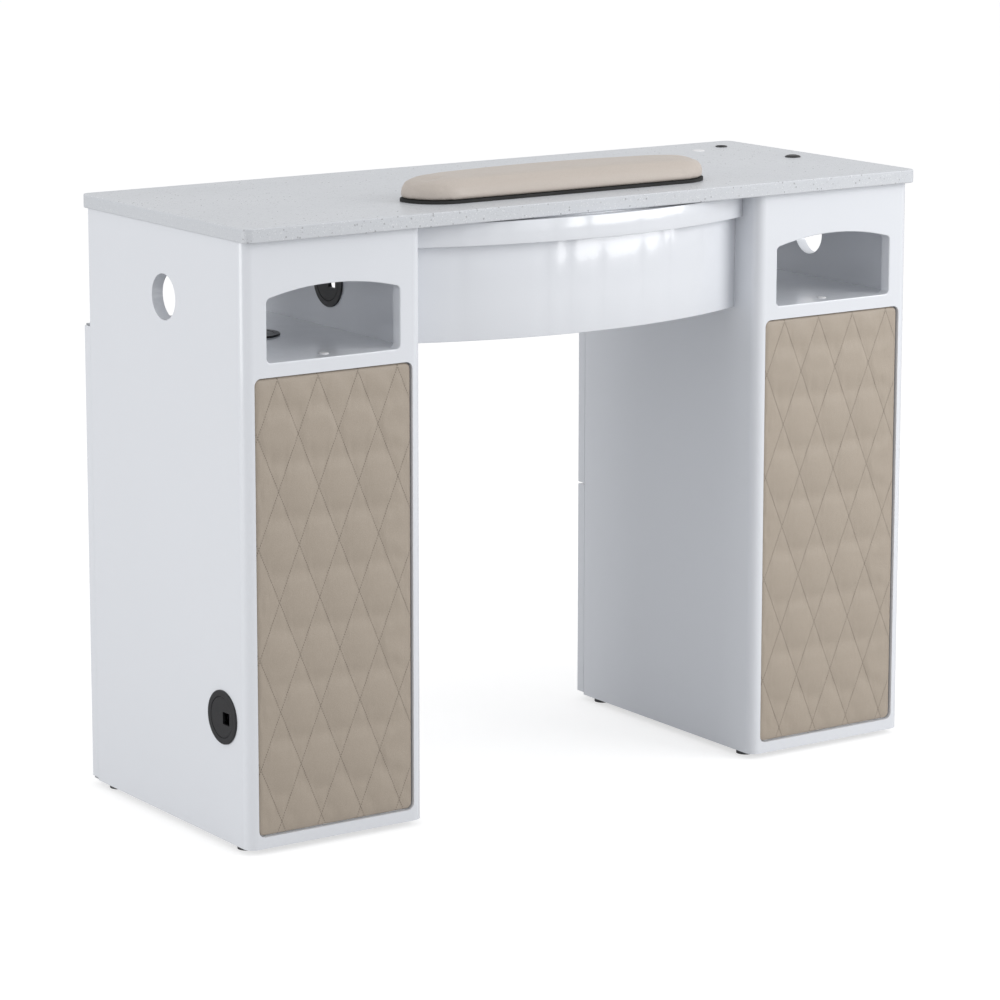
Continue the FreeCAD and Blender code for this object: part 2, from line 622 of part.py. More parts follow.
def rest_outline(inset, height):
    """Closed D outline: straight front, round front corners and a half ellipse behind."""
    half = dim("restHalf") - inset
    front = inset - dim("restFront")
    corner = dim("restCorner") - inset
    shoulder = front + corner
    depth = dim("restDepth") - dim("restCorner") - inset
    slack = corner * (1 - 2 ** -0.5)

    def spot(x, y):
        return FreeCAD.Vector(x, y, height)

    ellipse = Part.Ellipse(spot(0, shoulder), half, depth)
    edges = [
        Part.LineSegment(spot(corner - half, front), spot(half - corner, front)).toShape(),
        Part.Arc(spot(half - corner, front), spot(half - slack, front + slack), spot(half, shoulder)).toShape(),
        Part.ArcOfEllipse(ellipse, 0, math.pi).toShape(),
        Part.Arc(spot(-half, shoulder), spot(slack - half, front + slack), spot(corner - half, front)).toShape(),
    ]
    return Part.Face(Part.Wire(edges))


def wrist_rest():
    """Thin base plate and the padded half-moon on it."""
    low = dim("tableHeight")
    base = doc.addObject("Part::Feature", "rest_base")
    base.Shape = rest_outline(0, low).extrude(FreeCAD.Vector(0, 0, dim("restBase")))
    base.Placement = FreeCAD.Placement()
    node("wrist_rest_base", base)
    floor = low + dim("restBase")
    solid = rest_outline(dim("restPadInset"), floor).extrude(FreeCAD.Vector(0, 0, dim("restPad")))
    top = [edge for edge in solid.Edges if edge.BoundBox.ZMin > floor + dim("restPad") - 0.01]
    pad = doc.addObject("Part::Feature", "rest_pad")
    pad.Shape = solid.makeFillet(dim("restCrown"), top)
    pad.Placement = FreeCAD.Placement()
    node("wrist_rest_pad", pad)


# ---------------------------------------------------------------- build, check and write

def build():
    """Make every sub-part."""
    worktop()
    top_fittings()
    for word, side in SIDES:
        side_boards(word, side)
        front_board(word, side)
        inner_boards(word, side)
        pad_panel(word, side)
    glides()
    grommets()
    apron()
    door()
    shelf()
    drawers()
    wrist_rest()
    doc.recompute()


def check():
    """Stop if any object failed or any sub-part has a bad shape."""
    failed = [item.Name for item in doc.Objects if {"Invalid", "Error"} & set(item.State)]
    if failed:
        raise RuntimeError(f"objects that failed: {failed}")
    bad = [item.Label for item in nodes if item.Shape.isNull() or not item.Shape.isValid()]
    if bad:
        raise RuntimeError(f"sub-parts with a bad shape: {bad}")


def write():
    """Write one file for each sub-part and print the overall size."""
    os.makedirs("parts", exist_ok=True)
    for old in os.listdir("parts"):
        os.remove(os.path.join("parts", old))
    whole = FreeCAD.BoundBox()
    for item in nodes:
        item.Shape.exportStep(f"parts/{item.Label}.step")
        whole.add(item.Shape.optimalBoundingBox(False, False))
        print(f"{item.Label:24s} {len(item.Shape.Solids):2d} solids {item.Shape.Volume / 1000:10.2f} cm3")
    print(f"{len(nodes)} sub-parts, box {whole}")


build()
check()
write()
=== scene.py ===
"""Looks of a manicure table: finishes, quilted pads, wrist rest, small hardware and a studio.

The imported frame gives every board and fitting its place. This script dresses those parts,
sews the soft pieces over their plain solids, adds fasteners and lights a plain studio.
"""

import logging
import math
from abc import ABC, abstractmethod
from collections.abc import Callable, Iterable, Sequence
from dataclasses import dataclass, field
from enum import Enum
from typing import Any

import bmesh
import bpy
import numpy as np
from mathutils import Matrix, Vector


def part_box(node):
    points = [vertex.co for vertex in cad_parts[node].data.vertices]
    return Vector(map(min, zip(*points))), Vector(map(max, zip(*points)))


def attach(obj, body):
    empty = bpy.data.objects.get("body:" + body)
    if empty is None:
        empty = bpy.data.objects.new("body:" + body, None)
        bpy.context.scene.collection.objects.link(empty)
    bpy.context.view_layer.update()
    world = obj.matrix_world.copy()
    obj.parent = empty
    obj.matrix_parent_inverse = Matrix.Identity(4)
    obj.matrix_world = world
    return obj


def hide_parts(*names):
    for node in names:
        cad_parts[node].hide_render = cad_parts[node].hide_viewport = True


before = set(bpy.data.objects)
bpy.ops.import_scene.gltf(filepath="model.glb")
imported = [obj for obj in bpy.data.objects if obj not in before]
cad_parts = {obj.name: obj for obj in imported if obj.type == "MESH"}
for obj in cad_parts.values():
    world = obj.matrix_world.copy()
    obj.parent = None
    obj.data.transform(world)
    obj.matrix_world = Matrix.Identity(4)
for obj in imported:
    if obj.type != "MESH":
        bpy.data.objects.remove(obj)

LOG = logging.getLogger("manicure_table")
MM = 0.001
SETTLE_FRAMES = 20
TINY = 1e-9
Colour = tuple[float, float, float]
Socket = bpy.types.NodeSocket
Shape = tuple[np.ndarray, list[list[int]]]
Spot = tuple[Sequence[float], Sequence[float]]


class Side(Enum):
    """The two pedestals, by the sign of their x."""

    LEFT = -1
    RIGHT = 1

    @property
    def word(self) -> str:
        """Prefix of this side's part names."""
        return self.name.lower()


class Slot(Enum):
    """Material slots of the record."""

    LACQUER = "lacquer"
    QUARTZ = "quartz"
    LEATHER = "leather"
    BLACK_PLASTIC = "black_plastic"
    GLIDE_PLASTIC = "glide_plastic"
    WHITE_PLASTIC = "white_plastic"
    ZINC = "zinc_steel"
    MELAMINE = "melamine"
    CHROME = "handle_chrome"
    RUBBER = "rubber_base"
    HARDBOARD = "hardboard"


class Effect(Enum):
    """Shader node groups that several finishes share."""

    TONE = "tone_drift"
    WIPE = "wipe_marks"
    PEEL = "sprayed_surface"
    GRAIN = "pebble_grain"
    FLECKS = "flecks"


# ---------------------------------------------------------------- shader node trees


class Graph:
    """Short way of writing a shader node tree."""

    def __init__(self, tree: bpy.types.NodeTree) -> None:
        """Wrap a node tree.

        Args:
            tree: the tree that new nodes go to.
        """
        self.tree = tree

    def add(self, kind: str, values: dict[Any, Any] | None = None, **options: Any) -> bpy.types.Node:
        """Add a node.

        Args:
            kind: Blender's name of the node type.
            values: socket name or number, and the number, colour or socket that feeds it.
            options: properties of the node.

        Returns:
            The new node.
        """
        node = self.tree.nodes.new(kind)
        for name, value in options.items():
            setattr(node, name, value)
        for name, value in (values or {}).items():
            self.feed(node.inputs[name], value)
        return node

    def feed(self, socket: Socket, value: Any) -> None:
        """Link a socket to another one, or set its value.

        Args:
            socket: the input.
            value: an output socket, a number, a colour or a vector.
        """
        if isinstance(value, Socket):
            self.tree.links.new(value, socket)
        elif isinstance(value, tuple) and len(value) == 3 and socket.type == "RGBA":
            socket.default_value = (*value, 1.0)
        else:
            socket.default_value = value

    def math(self, operation: str, *values: Any) -> Socket:
        """Result of a Math node over numbers and sockets."""
        return self.add("ShaderNodeMath", dict(enumerate(values)), operation=operation).outputs[0]

    def product(self, *values: Any) -> Socket:
        """Two numbers or sockets multiplied."""
        return self.math("MULTIPLY", *values)

    def scaled(self, vector: Any, amount: Any) -> Socket:
        """A vector times a number or a vector of factors."""
        if isinstance(amount, tuple):
            node = self.add("ShaderNodeVectorMath", {0: vector, 1: amount}, operation="MULTIPLY")
        else:
            node = self.add("ShaderNodeVectorMath", {0: vector, "Scale": amount}, operation="SCALE")
        return node.outputs[0]

    def noise(self, vector: Any, scale: Any, detail: float = 2.0,
              roughness: float = 0.5) -> Socket:
        """Noise value between 0 and 1."""
        values = {"Vector": vector, "Scale": scale, "Detail": detail, "Roughness": roughness}
        return self.add("ShaderNodeTexNoise", values).outputs["Fac"]

    def ramp(self, value: Any, low: Any, high: Any, start: Any = 0.0, end: Any = 1.0) -> Socket:
        """A value stretched smoothly from the range low..high to start..end."""
        values = {"Value": value, "From Min": low, "From Max": high, "To Min": start, "To Max": end}
        return self.add("ShaderNodeMapRange", values, interpolation_type="SMOOTHSTEP").outputs["Result"]

    def mix(self, mask: Any, first: Any, second: Any) -> Socket:
        """Blend of two colours by a mask."""
        node = self.add("ShaderNodeMix", data_type="RGBA")
        colours = [socket for socket in node.inputs if socket.type == "RGBA"]
        self.feed(node.inputs["Factor"], mask)
        self.feed(colours[0], first)
        self.feed(colours[1], second)
        return next(socket for socket in node.outputs if socket.type == "RGBA")

    def place(self) -> Socket:
        """Coordinates in metres that stay with the piece."""
        return self.add("ShaderNodeTexCoord").outputs["Object"]

    def bump(self, height: Any, depth: float) -> Socket:
        """Normal bent by a height.

        Args:
            height: socket from 0 to 1.
            depth: what a height of 1 stands for, in metres.

        Returns:
            The bent normal.
        """
        values = {"Height": height, "Distance": depth, "Strength": 1.0}
        return self.add("ShaderNodeBump", values).outputs["Normal"]


@dataclass(frozen=True)
class Port:
    """One socket of a node group."""

    name: str
    kind: str
    value: Any = None


NUMBER = "NodeSocketFloat"
VECTOR = "NodeSocketVector"
COLOUR = "NodeSocketColor"


class EffectLibrary:
    """Builds each shared effect once and places it in materials."""

    def __init__(self) -> None:
        """Start with nothing built."""
        self.built: dict[Effect, bpy.types.NodeTree] = {}

    def use(self, graph: Graph, effect: Effect, values: dict[str, Any]) -> bpy.types.Node:
        """Place an effect in a material.

        Args:
            graph: the material's tree.
            effect: which effect.
            values: what feeds its named inputs.

        Returns:
            The group node, whose named outputs carry the effect.
        """
        if effect not in self.built:
            self.built[effect] = self.build(effect)
        node = graph.add("ShaderNodeGroup", node_tree=self.built[effect])
        for name, value in values.items():
            graph.feed(node.inputs[name], value)
        return node

    def build(self, effect: Effect) -> bpy.types.NodeTree:
        """Make the node group of an effect."""
        recipes: dict[Effect, tuple[list[Port], list[Port], Callable[[Graph, Any], dict[str, Any]]]] = {
            Effect.TONE: (
                [Port("Vector", VECTOR), Port("Colour", COLOUR), Port("Scale", NUMBER, 4.0),
                 Port("Amount", NUMBER, 0.05)],
                [Port("Colour", COLOUR)], self.tone),
            Effect.WIPE: (
                [Port("Vector", VECTOR), Port("Scale", NUMBER, 6.0), Port("Low", NUMBER, 0.2),
                 Port("High", NUMBER, 0.3)],
                [Port("Roughness", NUMBER)], self.wipe),
            Effect.PEEL: (
                [Port("Vector", VECTOR), Port("Scale", NUMBER, 250.0)],
                [Port("Height", NUMBER)], self.peel),
            Effect.GRAIN: (
                [Port("Vector", VECTOR), Port("Scale", NUMBER, 900.0), Port("Crease", NUMBER, 0.5)],
                [Port("Height", NUMBER), Port("Valley", NUMBER)], self.grain),
            Effect.FLECKS: (
                [Port("Vector", VECTOR), Port("Scale", NUMBER, 400.0), Port("Share", NUMBER, 0.1)],
                [Port("Mask", NUMBER), Port("Tint", NUMBER)], self.flecks),
        }
        inputs, outputs, recipe = recipes[effect]
        tree = bpy.data.node_groups.new(effect.value, "ShaderNodeTree")
        for ports, way in ((inputs, "INPUT"), (outputs, "OUTPUT")):
            for port in ports:
                socket = tree.interface.new_socket(name=port.name, in_out=way, socket_type=port.kind)
                if port.value is not None:
                    socket.default_value = port.value
        graph = Graph(tree)
        entry = graph.add("NodeGroupInput")
        leave = graph.add("NodeGroupOutput")
        for name, socket in recipe(graph, entry.outputs).items():
            graph.feed(leave.inputs[name], socket)
        return tree

    @staticmethod
    def tone(graph: Graph, given: Any) -> dict[str, Any]:
        """Colour that drifts a little lighter and darker over the surface."""
        broad = graph.noise(given["Vector"], given["Scale"], 3.0)
        swing = graph.math("SUBTRACT", broad, 0.5)
        factor = graph.math("ADD", graph.product(swing, given["Amount"]), 1.0)
        return {"Colour": graph.scaled(given["Colour"], factor)}

    @staticmethod
    def wipe(graph: Graph, given: Any) -> dict[str, Any]:
        """Roughness with the faint streaks that a cleaning cloth leaves."""
        streaks = graph.noise(graph.scaled(given["Vector"], (1.0, 1.0, 0.35)), given["Scale"], 4.0, 0.6)
        smears = graph.noise(given["Vector"], graph.product(given["Scale"], 9.0), 2.0)
        both = graph.math("ADD", graph.product(streaks, 0.75), graph.product(smears, 0.25))
        return {"Roughness": graph.ramp(both, 0.3, 0.7, given["Low"], given["High"])}

    @staticmethod
    def peel(graph: Graph, given: Any) -> dict[str, Any]:
        """Shallow waves of sprayed and cured lacquer."""
        wave = graph.noise(given["Vector"], given["Scale"], 1.0)
        swell = graph.noise(given["Vector"], graph.product(given["Scale"], 0.22), 1.0)
        return {"Height": graph.math("ADD", graph.product(wave, 0.35), graph.product(swell, 0.65))}

    @staticmethod
    def grain(graph: Graph, given: Any) -> dict[str, Any]:
        """Rounded pebbles with creases between them, as on embossed leather or moulded plastic."""
        warp = graph.add("ShaderNodeTexNoise",
                         {"Vector": given["Vector"], "Scale": given["Scale"], "Detail": 1.0})
        shift = graph.scaled(warp.outputs["Color"], graph.math("DIVIDE", 0.9, given["Scale"]))
        moved = graph.add("ShaderNodeVectorMath", {0: given["Vector"], 1: shift}, operation="ADD").outputs[0]
        cells = graph.add("ShaderNodeTexVoronoi", {"Vector": moved, "Scale": given["Scale"]},
                          feature="DISTANCE_TO_EDGE").outputs["Distance"]
        pebble = graph.ramp(cells, 0.0, given["Crease"])
        fine = graph.noise(given["Vector"], graph.product(given["Scale"], 2.6), 2.0)
        height = graph.math("ADD", graph.product(pebble, 0.8), graph.product(fine, 0.2))
        # Valley is 1 in the creases; the leather paints shade there with it.
        return {"Height": height, "Valley": graph.math("SUBTRACT", 1.0, pebble)}

    @staticmethod
    def flecks(graph: Graph, given: Any) -> dict[str, Any]:
        """Scattered angular chips: a mask and a random value for each chip."""
        cells = graph.add("ShaderNodeTexVoronoi", {"Vector": given["Vector"], "Scale": given["Scale"]})
        parts = graph.add("ShaderNodeSeparateColor", {"Color": cells.outputs["Color"]})
        chosen = graph.math("LESS_THAN", parts.outputs["Red"], given["Share"])
        inside = graph.ramp(cells.outputs["Distance"], 0.30, 0.46, 1.0, 0.0)
        return {"Mask": graph.product(chosen, inside), "Tint": parts.outputs["Green"]}


EFFECTS = EffectLibrary()


# ---------------------------------------------------------------- finishes


@dataclass(frozen=True)
class Finish(ABC):
    """A finish that builds its material once, under its own name."""

    name: str

    def material(self) -> bpy.types.Material:
        """The finish's material, made on first use."""
        found = bpy.data.materials.get(f"{self.name}_finish")
        if found:
            return found
        made = bpy.data.materials.new(f"{self.name}_finish")
        made.use_nodes = True
        made.node_tree.nodes.clear()
        graph = Graph(made.node_tree)
        shader = graph.add("ShaderNodeBsdfPrincipled")
        graph.add("ShaderNodeOutputMaterial", {"Surface": shader.outputs["BSDF"]})
        self.dress(graph, shader)
        return made

    @staticmethod
    def paint(graph: Graph, shader: bpy.types.Node, colour: Any, rough: Any, normal: Any) -> None:
        """Feed the three inputs that vary over every finish.

        Args:
            graph: the material's tree.
            shader: its Principled BSDF node.
            colour: what feeds the base colour.
            rough: what feeds the roughness.
            normal: what feeds the normal.
        """
        for name, value in (("Base Color", colour), ("Roughness", rough), ("Normal", normal)):
            graph.feed(shader.inputs[name], value)

    @staticmethod
    def tone(graph: Graph, place: Socket, colour: Colour, scale: float, amount: float) -> Socket:
        """Colour with a broad drift of tone over the surface."""
        values = {"Vector": place, "Colour": colour, "Scale": scale, "Amount": amount}
        return EFFECTS.use(graph, Effect.TONE, values).outputs["Colour"]

    @abstractmethod
    def dress(self, graph: Graph, shader: bpy.types.Node) -> None:
        """Feed the shader.

        Args:
            graph: the material's tree.
            shader: its Principled BSDF node.
        """


@dataclass(frozen=True)
class Lacquer(Finish):
    """Gloss paint sprayed on board."""

    colour: Colour = (0.8, 0.8, 0.8)
    smooth: float = 0.16
    dull: float = 0.24
    coat: float = 0.4
    peel_depth: float = 0.03 * MM

    def dress(self, graph: Graph, shader: bpy.types.Node) -> None:
        """Feed the shader with the paint's tone, cloth streaks and waves."""
        place = graph.place()
        tone = self.tone(graph, place, self.colour, 3.0, 0.03)
        wipe = EFFECTS.use(graph, Effect.WIPE, {"Vector": place, "Low": self.smooth, "High": self.dull})
        peel = EFFECTS.use(graph, Effect.PEEL, {"Vector": place, "Scale": 260.0})
        self.paint(graph, shader, tone, wipe.outputs["Roughness"],
                   graph.bump(peel.outputs["Height"], self.peel_depth))
        shader.inputs["Coat Weight"].default_value = self.coat
        shader.inputs["Coat Roughness"].default_value = 0.07


@dataclass(frozen=True)
class Quartz(Finish):
    """Engineered stone: resin and sand with grey, white and glassy chips."""

    colour: Colour = (0.6, 0.6, 0.6)
    grey_chip: Colour = (0.3, 0.3, 0.3)
    white_chip: Colour = (0.85, 0.85, 0.85)
    polish: float = 0.30
    smear: float = 0.08
    sand_scale: float = 2600.0
    chip_sizes: tuple[tuple[float, float, float], ...] = ((300.0, 0.09, 0.75), (520.0, 0.16, 0.7),
                                                          (760.0, 0.14, 0.6))

    def dress(self, graph: Graph, shader: bpy.types.Node) -> None:
        """Feed the shader with sand, chips of three sizes and a polished face."""
        place = graph.place()
        sand = graph.noise(place, self.sand_scale, 3.0, 0.7)
        tone = self.tone(graph, place, self.colour, 9.0, 0.05)
        colour = graph.mix(graph.ramp(sand, 0.35, 0.75, 0.0, 0.16), tone, self.grey_chip)
        glassy: Any = 0.0
        shades = (self.grey_chip, self.white_chip, self.grey_chip)
        for (scale, share, strength), shade in zip(self.chip_sizes, shades):
            chips = EFFECTS.use(graph, Effect.FLECKS, {"Vector": place, "Scale": scale, "Share": share})
            level = graph.product(graph.ramp(chips.outputs["Tint"], 0.0, 1.0, 0.35, 1.0), strength)
            mask = graph.product(chips.outputs["Mask"], level)
            colour = graph.mix(mask, colour, shade)
            glassy = graph.math("MAXIMUM", mask, glassy)
        wipe = EFFECTS.use(graph, Effect.WIPE, {"Vector": place, "Low": self.polish,
                                                "High": self.polish + self.smear})
        rough = graph.math("SUBTRACT", wipe.outputs["Roughness"], graph.product(glassy, self.smear))
        self.paint(graph, shader, colour, rough,
                   graph.bump(sand, 0.004 * MM))
        shader.inputs["Specular IOR Level"].default_value = 0.32


@dataclass(frozen=True)
class Leather(Finish):
    """Upholstery leather with a fine pebbled grain, quilted or plain."""

    colour: Colour = (0.5, 0.4, 0.3)
    # Painted shade: darker colour laid into the grain's creases and along the quilted seams.
    crease: Colour = (0.3, 0.25, 0.2)
    # Painted shade: near-black colour painted in the needle holes, where shade falls.
    needle_hole_shade: Colour = (0.09, 0.07, 0.055)
    quilt: "Lattice | None" = None
    grain_depth: float = 0.10 * MM

    def dress(self, graph: Graph, shader: bpy.types.Node) -> None:
        """Feed the shader with grain, tone, painted shade in the grain's creases and, on a quilted piece,
        painted shade along the seams and in the needle holes.
        """
        place = graph.place()
        grain = EFFECTS.use(graph, Effect.GRAIN, {"Vector": place, "Scale": 800.0, "Crease": 0.35})
        tone = self.tone(graph, place, self.colour, 7.0, 0.1)
        # Painted shade: the grain's valleys are darkened toward the crease shade colour.
        colour = graph.mix(graph.product(grain.outputs["Valley"], 0.35), tone, self.crease)
        height = grain.outputs["Height"]
        if self.quilt:
            seam, hole = self.quilt.masks(graph, place)
            # Painted shade along the pinched seams.
            colour = graph.mix(graph.product(seam, 0.10), colour, self.crease)
            # Painted shade in the needle holes; the holes also dent the bump.
            colour = graph.mix(graph.product(hole, 0.8), colour, self.needle_hole_shade)
            height = graph.math("SUBTRACT", height, graph.product(hole, 1.5))
        wipe = EFFECTS.use(graph, Effect.WIPE, {"Vector": place, "Scale": 14.0, "Low": 0.42, "High": 0.54})
        self.paint(graph, shader, colour, wipe.outputs["Roughness"],
                   graph.bump(height, self.grain_depth))
        shader.inputs["Specular IOR Level"].default_value = 0.42
        shader.inputs["Sheen Weight"].default_value = 0.06
        shader.inputs["Sheen Roughness"].default_value = 0.5


@dataclass(frozen=True)
class Thread(Finish):
    """Twisted polyester sewing thread."""

    colour: Colour = (0.4, 0.35, 0.3)

    def dress(self, graph: Graph, shader: bpy.types.Node) -> None:
        """Feed the shader with the thread's plies, with painted shade in the grooves between them."""
        place = graph.place()
        plies = graph.add("ShaderNodeTexWave", {"Vector": place, "Scale": 900.0, "Distortion": 1.5},
                          bands_direction="DIAGONAL").outputs["Fac"]
        # Painted shade: the plies' grooves get a darker copy of the thread's colour.
        groove_shade = tuple(part * 0.6 for part in self.colour)
        graph.feed(shader.inputs["Base Color"], graph.mix(plies, groove_shade, self.colour))
        graph.feed(shader.inputs["Normal"], graph.bump(plies, 0.06 * MM))
        shader.inputs["Roughness"].default_value = 0.62
        shader.inputs["Sheen Weight"].default_value = 0.25


@dataclass(frozen=True)
class Moulding(Finish):
    """Moulded plastic or rubber with a fine spark-eroded texture."""

    colour: Colour = (0.02, 0.02, 0.02)
    smooth: float = 0.35
    dull: float = 0.5
    texture_scale: float = 1500.0
    texture_depth: float = 0.03 * MM

    def dress(self, graph: Graph, shader: bpy.types.Node) -> None:
        """Feed the shader with the mould's texture and handling marks."""
        place = graph.place()
        grain = EFFECTS.use(graph, Effect.GRAIN, {"Vector": place, "Scale": self.texture_scale,
                                                  "Crease": 0.5})
        tone = self.tone(graph, place, self.colour, 40.0, 0.2)
        wipe = EFFECTS.use(graph, Effect.WIPE, {"Vector": place, "Scale": 30.0, "Low": self.smooth,
                                                "High": self.dull})
        self.paint(graph, shader, tone, wipe.outputs["Roughness"],
                   graph.bump(grain.outputs["Height"], self.texture_depth))


@dataclass(frozen=True)
class Metal(Finish):
    """Plated metal, either rolled sheet or polished bar."""

    colour: Colour = (0.7, 0.7, 0.7)
    smooth: float = 0.05
    dull: float = 0.12
    rolled: bool = False

    def dress(self, graph: Graph, shader: bpy.types.Node) -> None:
        """Feed the shader with rolling lines or faint smears."""
        place = graph.place()
        tone = self.tone(graph, place, self.colour, 30.0, 0.25 if self.rolled else 0.06)
        wipe = EFFECTS.use(graph, Effect.WIPE, {"Vector": place, "Scale": 25.0, "Low": self.smooth,
                                                "High": self.dull})
        graph.feed(shader.inputs["Base Color"], tone)
        graph.feed(shader.inputs["Roughness"], wipe.outputs["Roughness"])
        if self.rolled:
            lines = graph.noise(graph.scaled(place, (1.0, 0.03, 1.0)), 2200.0, 3.0, 0.7)
            graph.feed(shader.inputs["Normal"], graph.bump(lines, 0.02 * MM))
        shader.inputs["Metallic"].default_value = 1.0


@dataclass(frozen=True)
class FacedBoard(Finish):
    """Board faced with a matt melamine film that has a light pressed texture."""

    colour: Colour = (0.8, 0.8, 0.8)

    def dress(self, graph: Graph, shader: bpy.types.Node) -> None:
        """Feed the shader with the film's tone and texture."""
        place = graph.place()
        grain = EFFECTS.use(graph, Effect.GRAIN, {"Vector": place, "Scale": 1100.0, "Crease": 0.6})
        tone = self.tone(graph, place, self.colour, 5.0, 0.04)
        wipe = EFFECTS.use(graph, Effect.WIPE, {"Vector": place, "Low": 0.42, "High": 0.55})
        self.paint(graph, shader, tone, wipe.outputs["Roughness"],
                   graph.bump(grain.outputs["Height"], 0.02 * MM))


# ---------------------------------------------------------------- the quilting pattern


@dataclass(frozen=True)
class Lattice:
    """Tall diamonds sewn by two families of slanted seams, in a plane of constant y."""

    half_wide: float
    half_tall: float
    centre_x: float
    centre_z: float
    stitch: float = 3.3 * MM
    seam_wide: float = 2.4 * MM
    hole_wide: float = 0.62 * MM

    @property
    def side(self) -> float:
        """Length of a diamond's side."""
        return math.hypot(self.half_wide, self.half_tall)

    @property
    def spacing(self) -> float:
        """Distance between neighbouring seams of one family."""
        return 2 * self.half_wide * self.half_tall / self.side

    def to_plane(self, u: float, v: float) -> tuple[float, float]:
        """x and z of a point given in diamond sides along the two seam directions."""
        return self.centre_x + (u - v) * self.half_wide, self.centre_z + (u + v) * self.half_tall

    def to_sides(self, x: float, z: float) -> tuple[float, float]:
        """Position in diamond sides along the two seam directions of a point in the plane."""
        across, up = (x - self.centre_x) / self.half_wide, (z - self.centre_z) / self.half_tall
        return (up + across) / 2, (up - across) / 2

    def masks(self, graph: Graph, place: Socket) -> tuple[Any, Any]:
        """Masks over the surface for the pinched seams and for the needle holes in them, where the leather
        paints shade.

        Args:
            graph: the material's tree.
            place: coordinates in metres.

        Returns:
            The seam mask and the hole mask.
        """
        parts = graph.add("ShaderNodeSeparateXYZ", {0: place})
        off_x = graph.math("SUBTRACT", parts.outputs["X"], self.centre_x)
        off_z = graph.math("SUBTRACT", parts.outputs["Z"], self.centre_z)
        across = graph.math("DIVIDE", off_x, self.half_wide)
        up = graph.math("DIVIDE", off_z, self.half_tall)
        seam: Any = 0.0
        hole: Any = 0.0
        for sign in (1.0, -1.0):
            slant = graph.product(across, sign)
            count = graph.math("DIVIDE", graph.math("ADD", up, slant), 2.0)
            run = graph.math("DIVIDE", graph.math("SUBTRACT", up, slant), 2.0)
            off = graph.math("PINGPONG", count, 0.5)
            far = graph.product(off, self.spacing)
            # Band along each seam, seam_wide across, where the leather paints shade.
            seam = graph.math("MAXIMUM", seam, graph.ramp(far, 0.0, self.seam_wide, 1.0, 0.0))
            step = graph.product(run, self.side)
            near = graph.math("PINGPONG", step, self.stitch / 2)
            reach = graph.math("SQRT", graph.math("ADD", graph.math("POWER", far, 2.0),
                                                  graph.math("POWER", near, 2.0)))
            # Dot at each needle hole: dents the leather's bump and carries its painted shade.
            dot = graph.ramp(reach, self.hole_wide * 0.6, self.hole_wide * 1.4, 1.0, 0.0)
            hole = graph.math("MAXIMUM", hole, dot)
        return seam, hole


# ---------------------------------------------------------------- mesh helpers


class Piece:
    """Makes objects of the table and gives them a body and a finish."""

    @staticmethod
    def add(name: str, mesh: bpy.types.Mesh, finish: Finish, body: str, slot: Slot) -> bpy.types.Object:
        """Put a mesh in the scene as a piece of the table.

        Args:
            name: the piece's name.
            mesh: its mesh, in metres in the table's frame.
            finish: what it is made of.
            body: the moving body that it rides on.
            slot: the record's slot that its finish belongs to; not used.

        Returns:
            The new object.
        """
        item = bpy.data.objects.new(name, mesh)
        bpy.context.scene.collection.objects.link(item)
        mesh.materials.clear()
        mesh.materials.append(finish.material())
        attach(item, body)
        LOG.info("piece %s: %d faces on %s", name, len(mesh.polygons), body)
        return item

    @staticmethod
    def from_arrays(name: str, points: np.ndarray, faces: Sequence[Sequence[int]],
                    smooth: bool) -> bpy.types.Mesh:
        """Mesh from points and faces, shaded smooth or flat."""
        mesh = bpy.data.meshes.new(name)
        mesh.from_pydata([tuple(point) for point in points], [], [list(face) for face in faces])
        mesh.validate()
        mesh.polygons.foreach_set("use_smooth", [smooth] * len(mesh.polygons))
        mesh.update()
        return mesh


def turned_faces(rings: int, around: int, closed: bool) -> list[list[int]]:
    """Quads between the rings of a turned or lofted shape.

    Args:
        rings: number of rings, each with the same number of points.
        around: points in a ring.
        closed: whether both end rings are capped with one face.

    Returns:
        The corners of every face.
    """
    faces = [[ring * around + k, ring * around + (k + 1) % around,
              (ring + 1) * around + (k + 1) % around, (ring + 1) * around + k]
             for ring in range(rings - 1) for k in range(around)]
    if closed:
        faces.append(list(range(around))[::-1])
        faces.append([(rings - 1) * around + k for k in range(around)])
    return faces


def turned(profile: Sequence[tuple[float, float]], around: int) -> Shape:
    """Shape turned about +Z, capped at both ends.

    Args:
        profile: pairs of radius and height.
        around: points in each ring.

    Returns:
        Its points and faces.
    """
    angles = np.arange(around) * 2 * math.pi / around
    points = [(radius * math.cos(a), radius * math.sin(a), height)
              for radius, height in profile for a in angles]
    return np.array(points), turned_faces(len(profile), around, True)


def joined(parts: Iterable[Shape]) -> Shape:
    """Several shapes as one.

    Args:
        parts: the points and faces of each.

    Returns:
        The points and faces of the whole.
    """
    points: list[np.ndarray] = []
    faces: list[list[int]] = []
    start = 0
    for more, corners in parts:
        points.append(more)
        faces.extend([[start + k for k in face] for face in corners])
        start += len(more)
    return np.concatenate(points), faces


def placed(points: np.ndarray, origin: Sequence[float], outward: Sequence[float]) -> np.ndarray:
    """Points turned and moved to where they belong.

    Args:
        points: points about the origin, facing +Z.
        origin: where their origin goes.
        outward: direction that their +Z turns to.

    Returns:
        The moved points.
    """
    turn = np.array(Vector(outward).to_track_quat("Z", "Y").to_matrix())
    return points @ turn.T + np.array(origin)


@dataclass(frozen=True)
class Filling:
    """How foam fills a skin: its pressure, its reach in metres and the skin's stiffness."""

    pressure: float
    reach: float
    stretch: float
    shear: float
    bend: float
    slack: float = 0.0
    quality: int = 4
    mass: float = 0.35


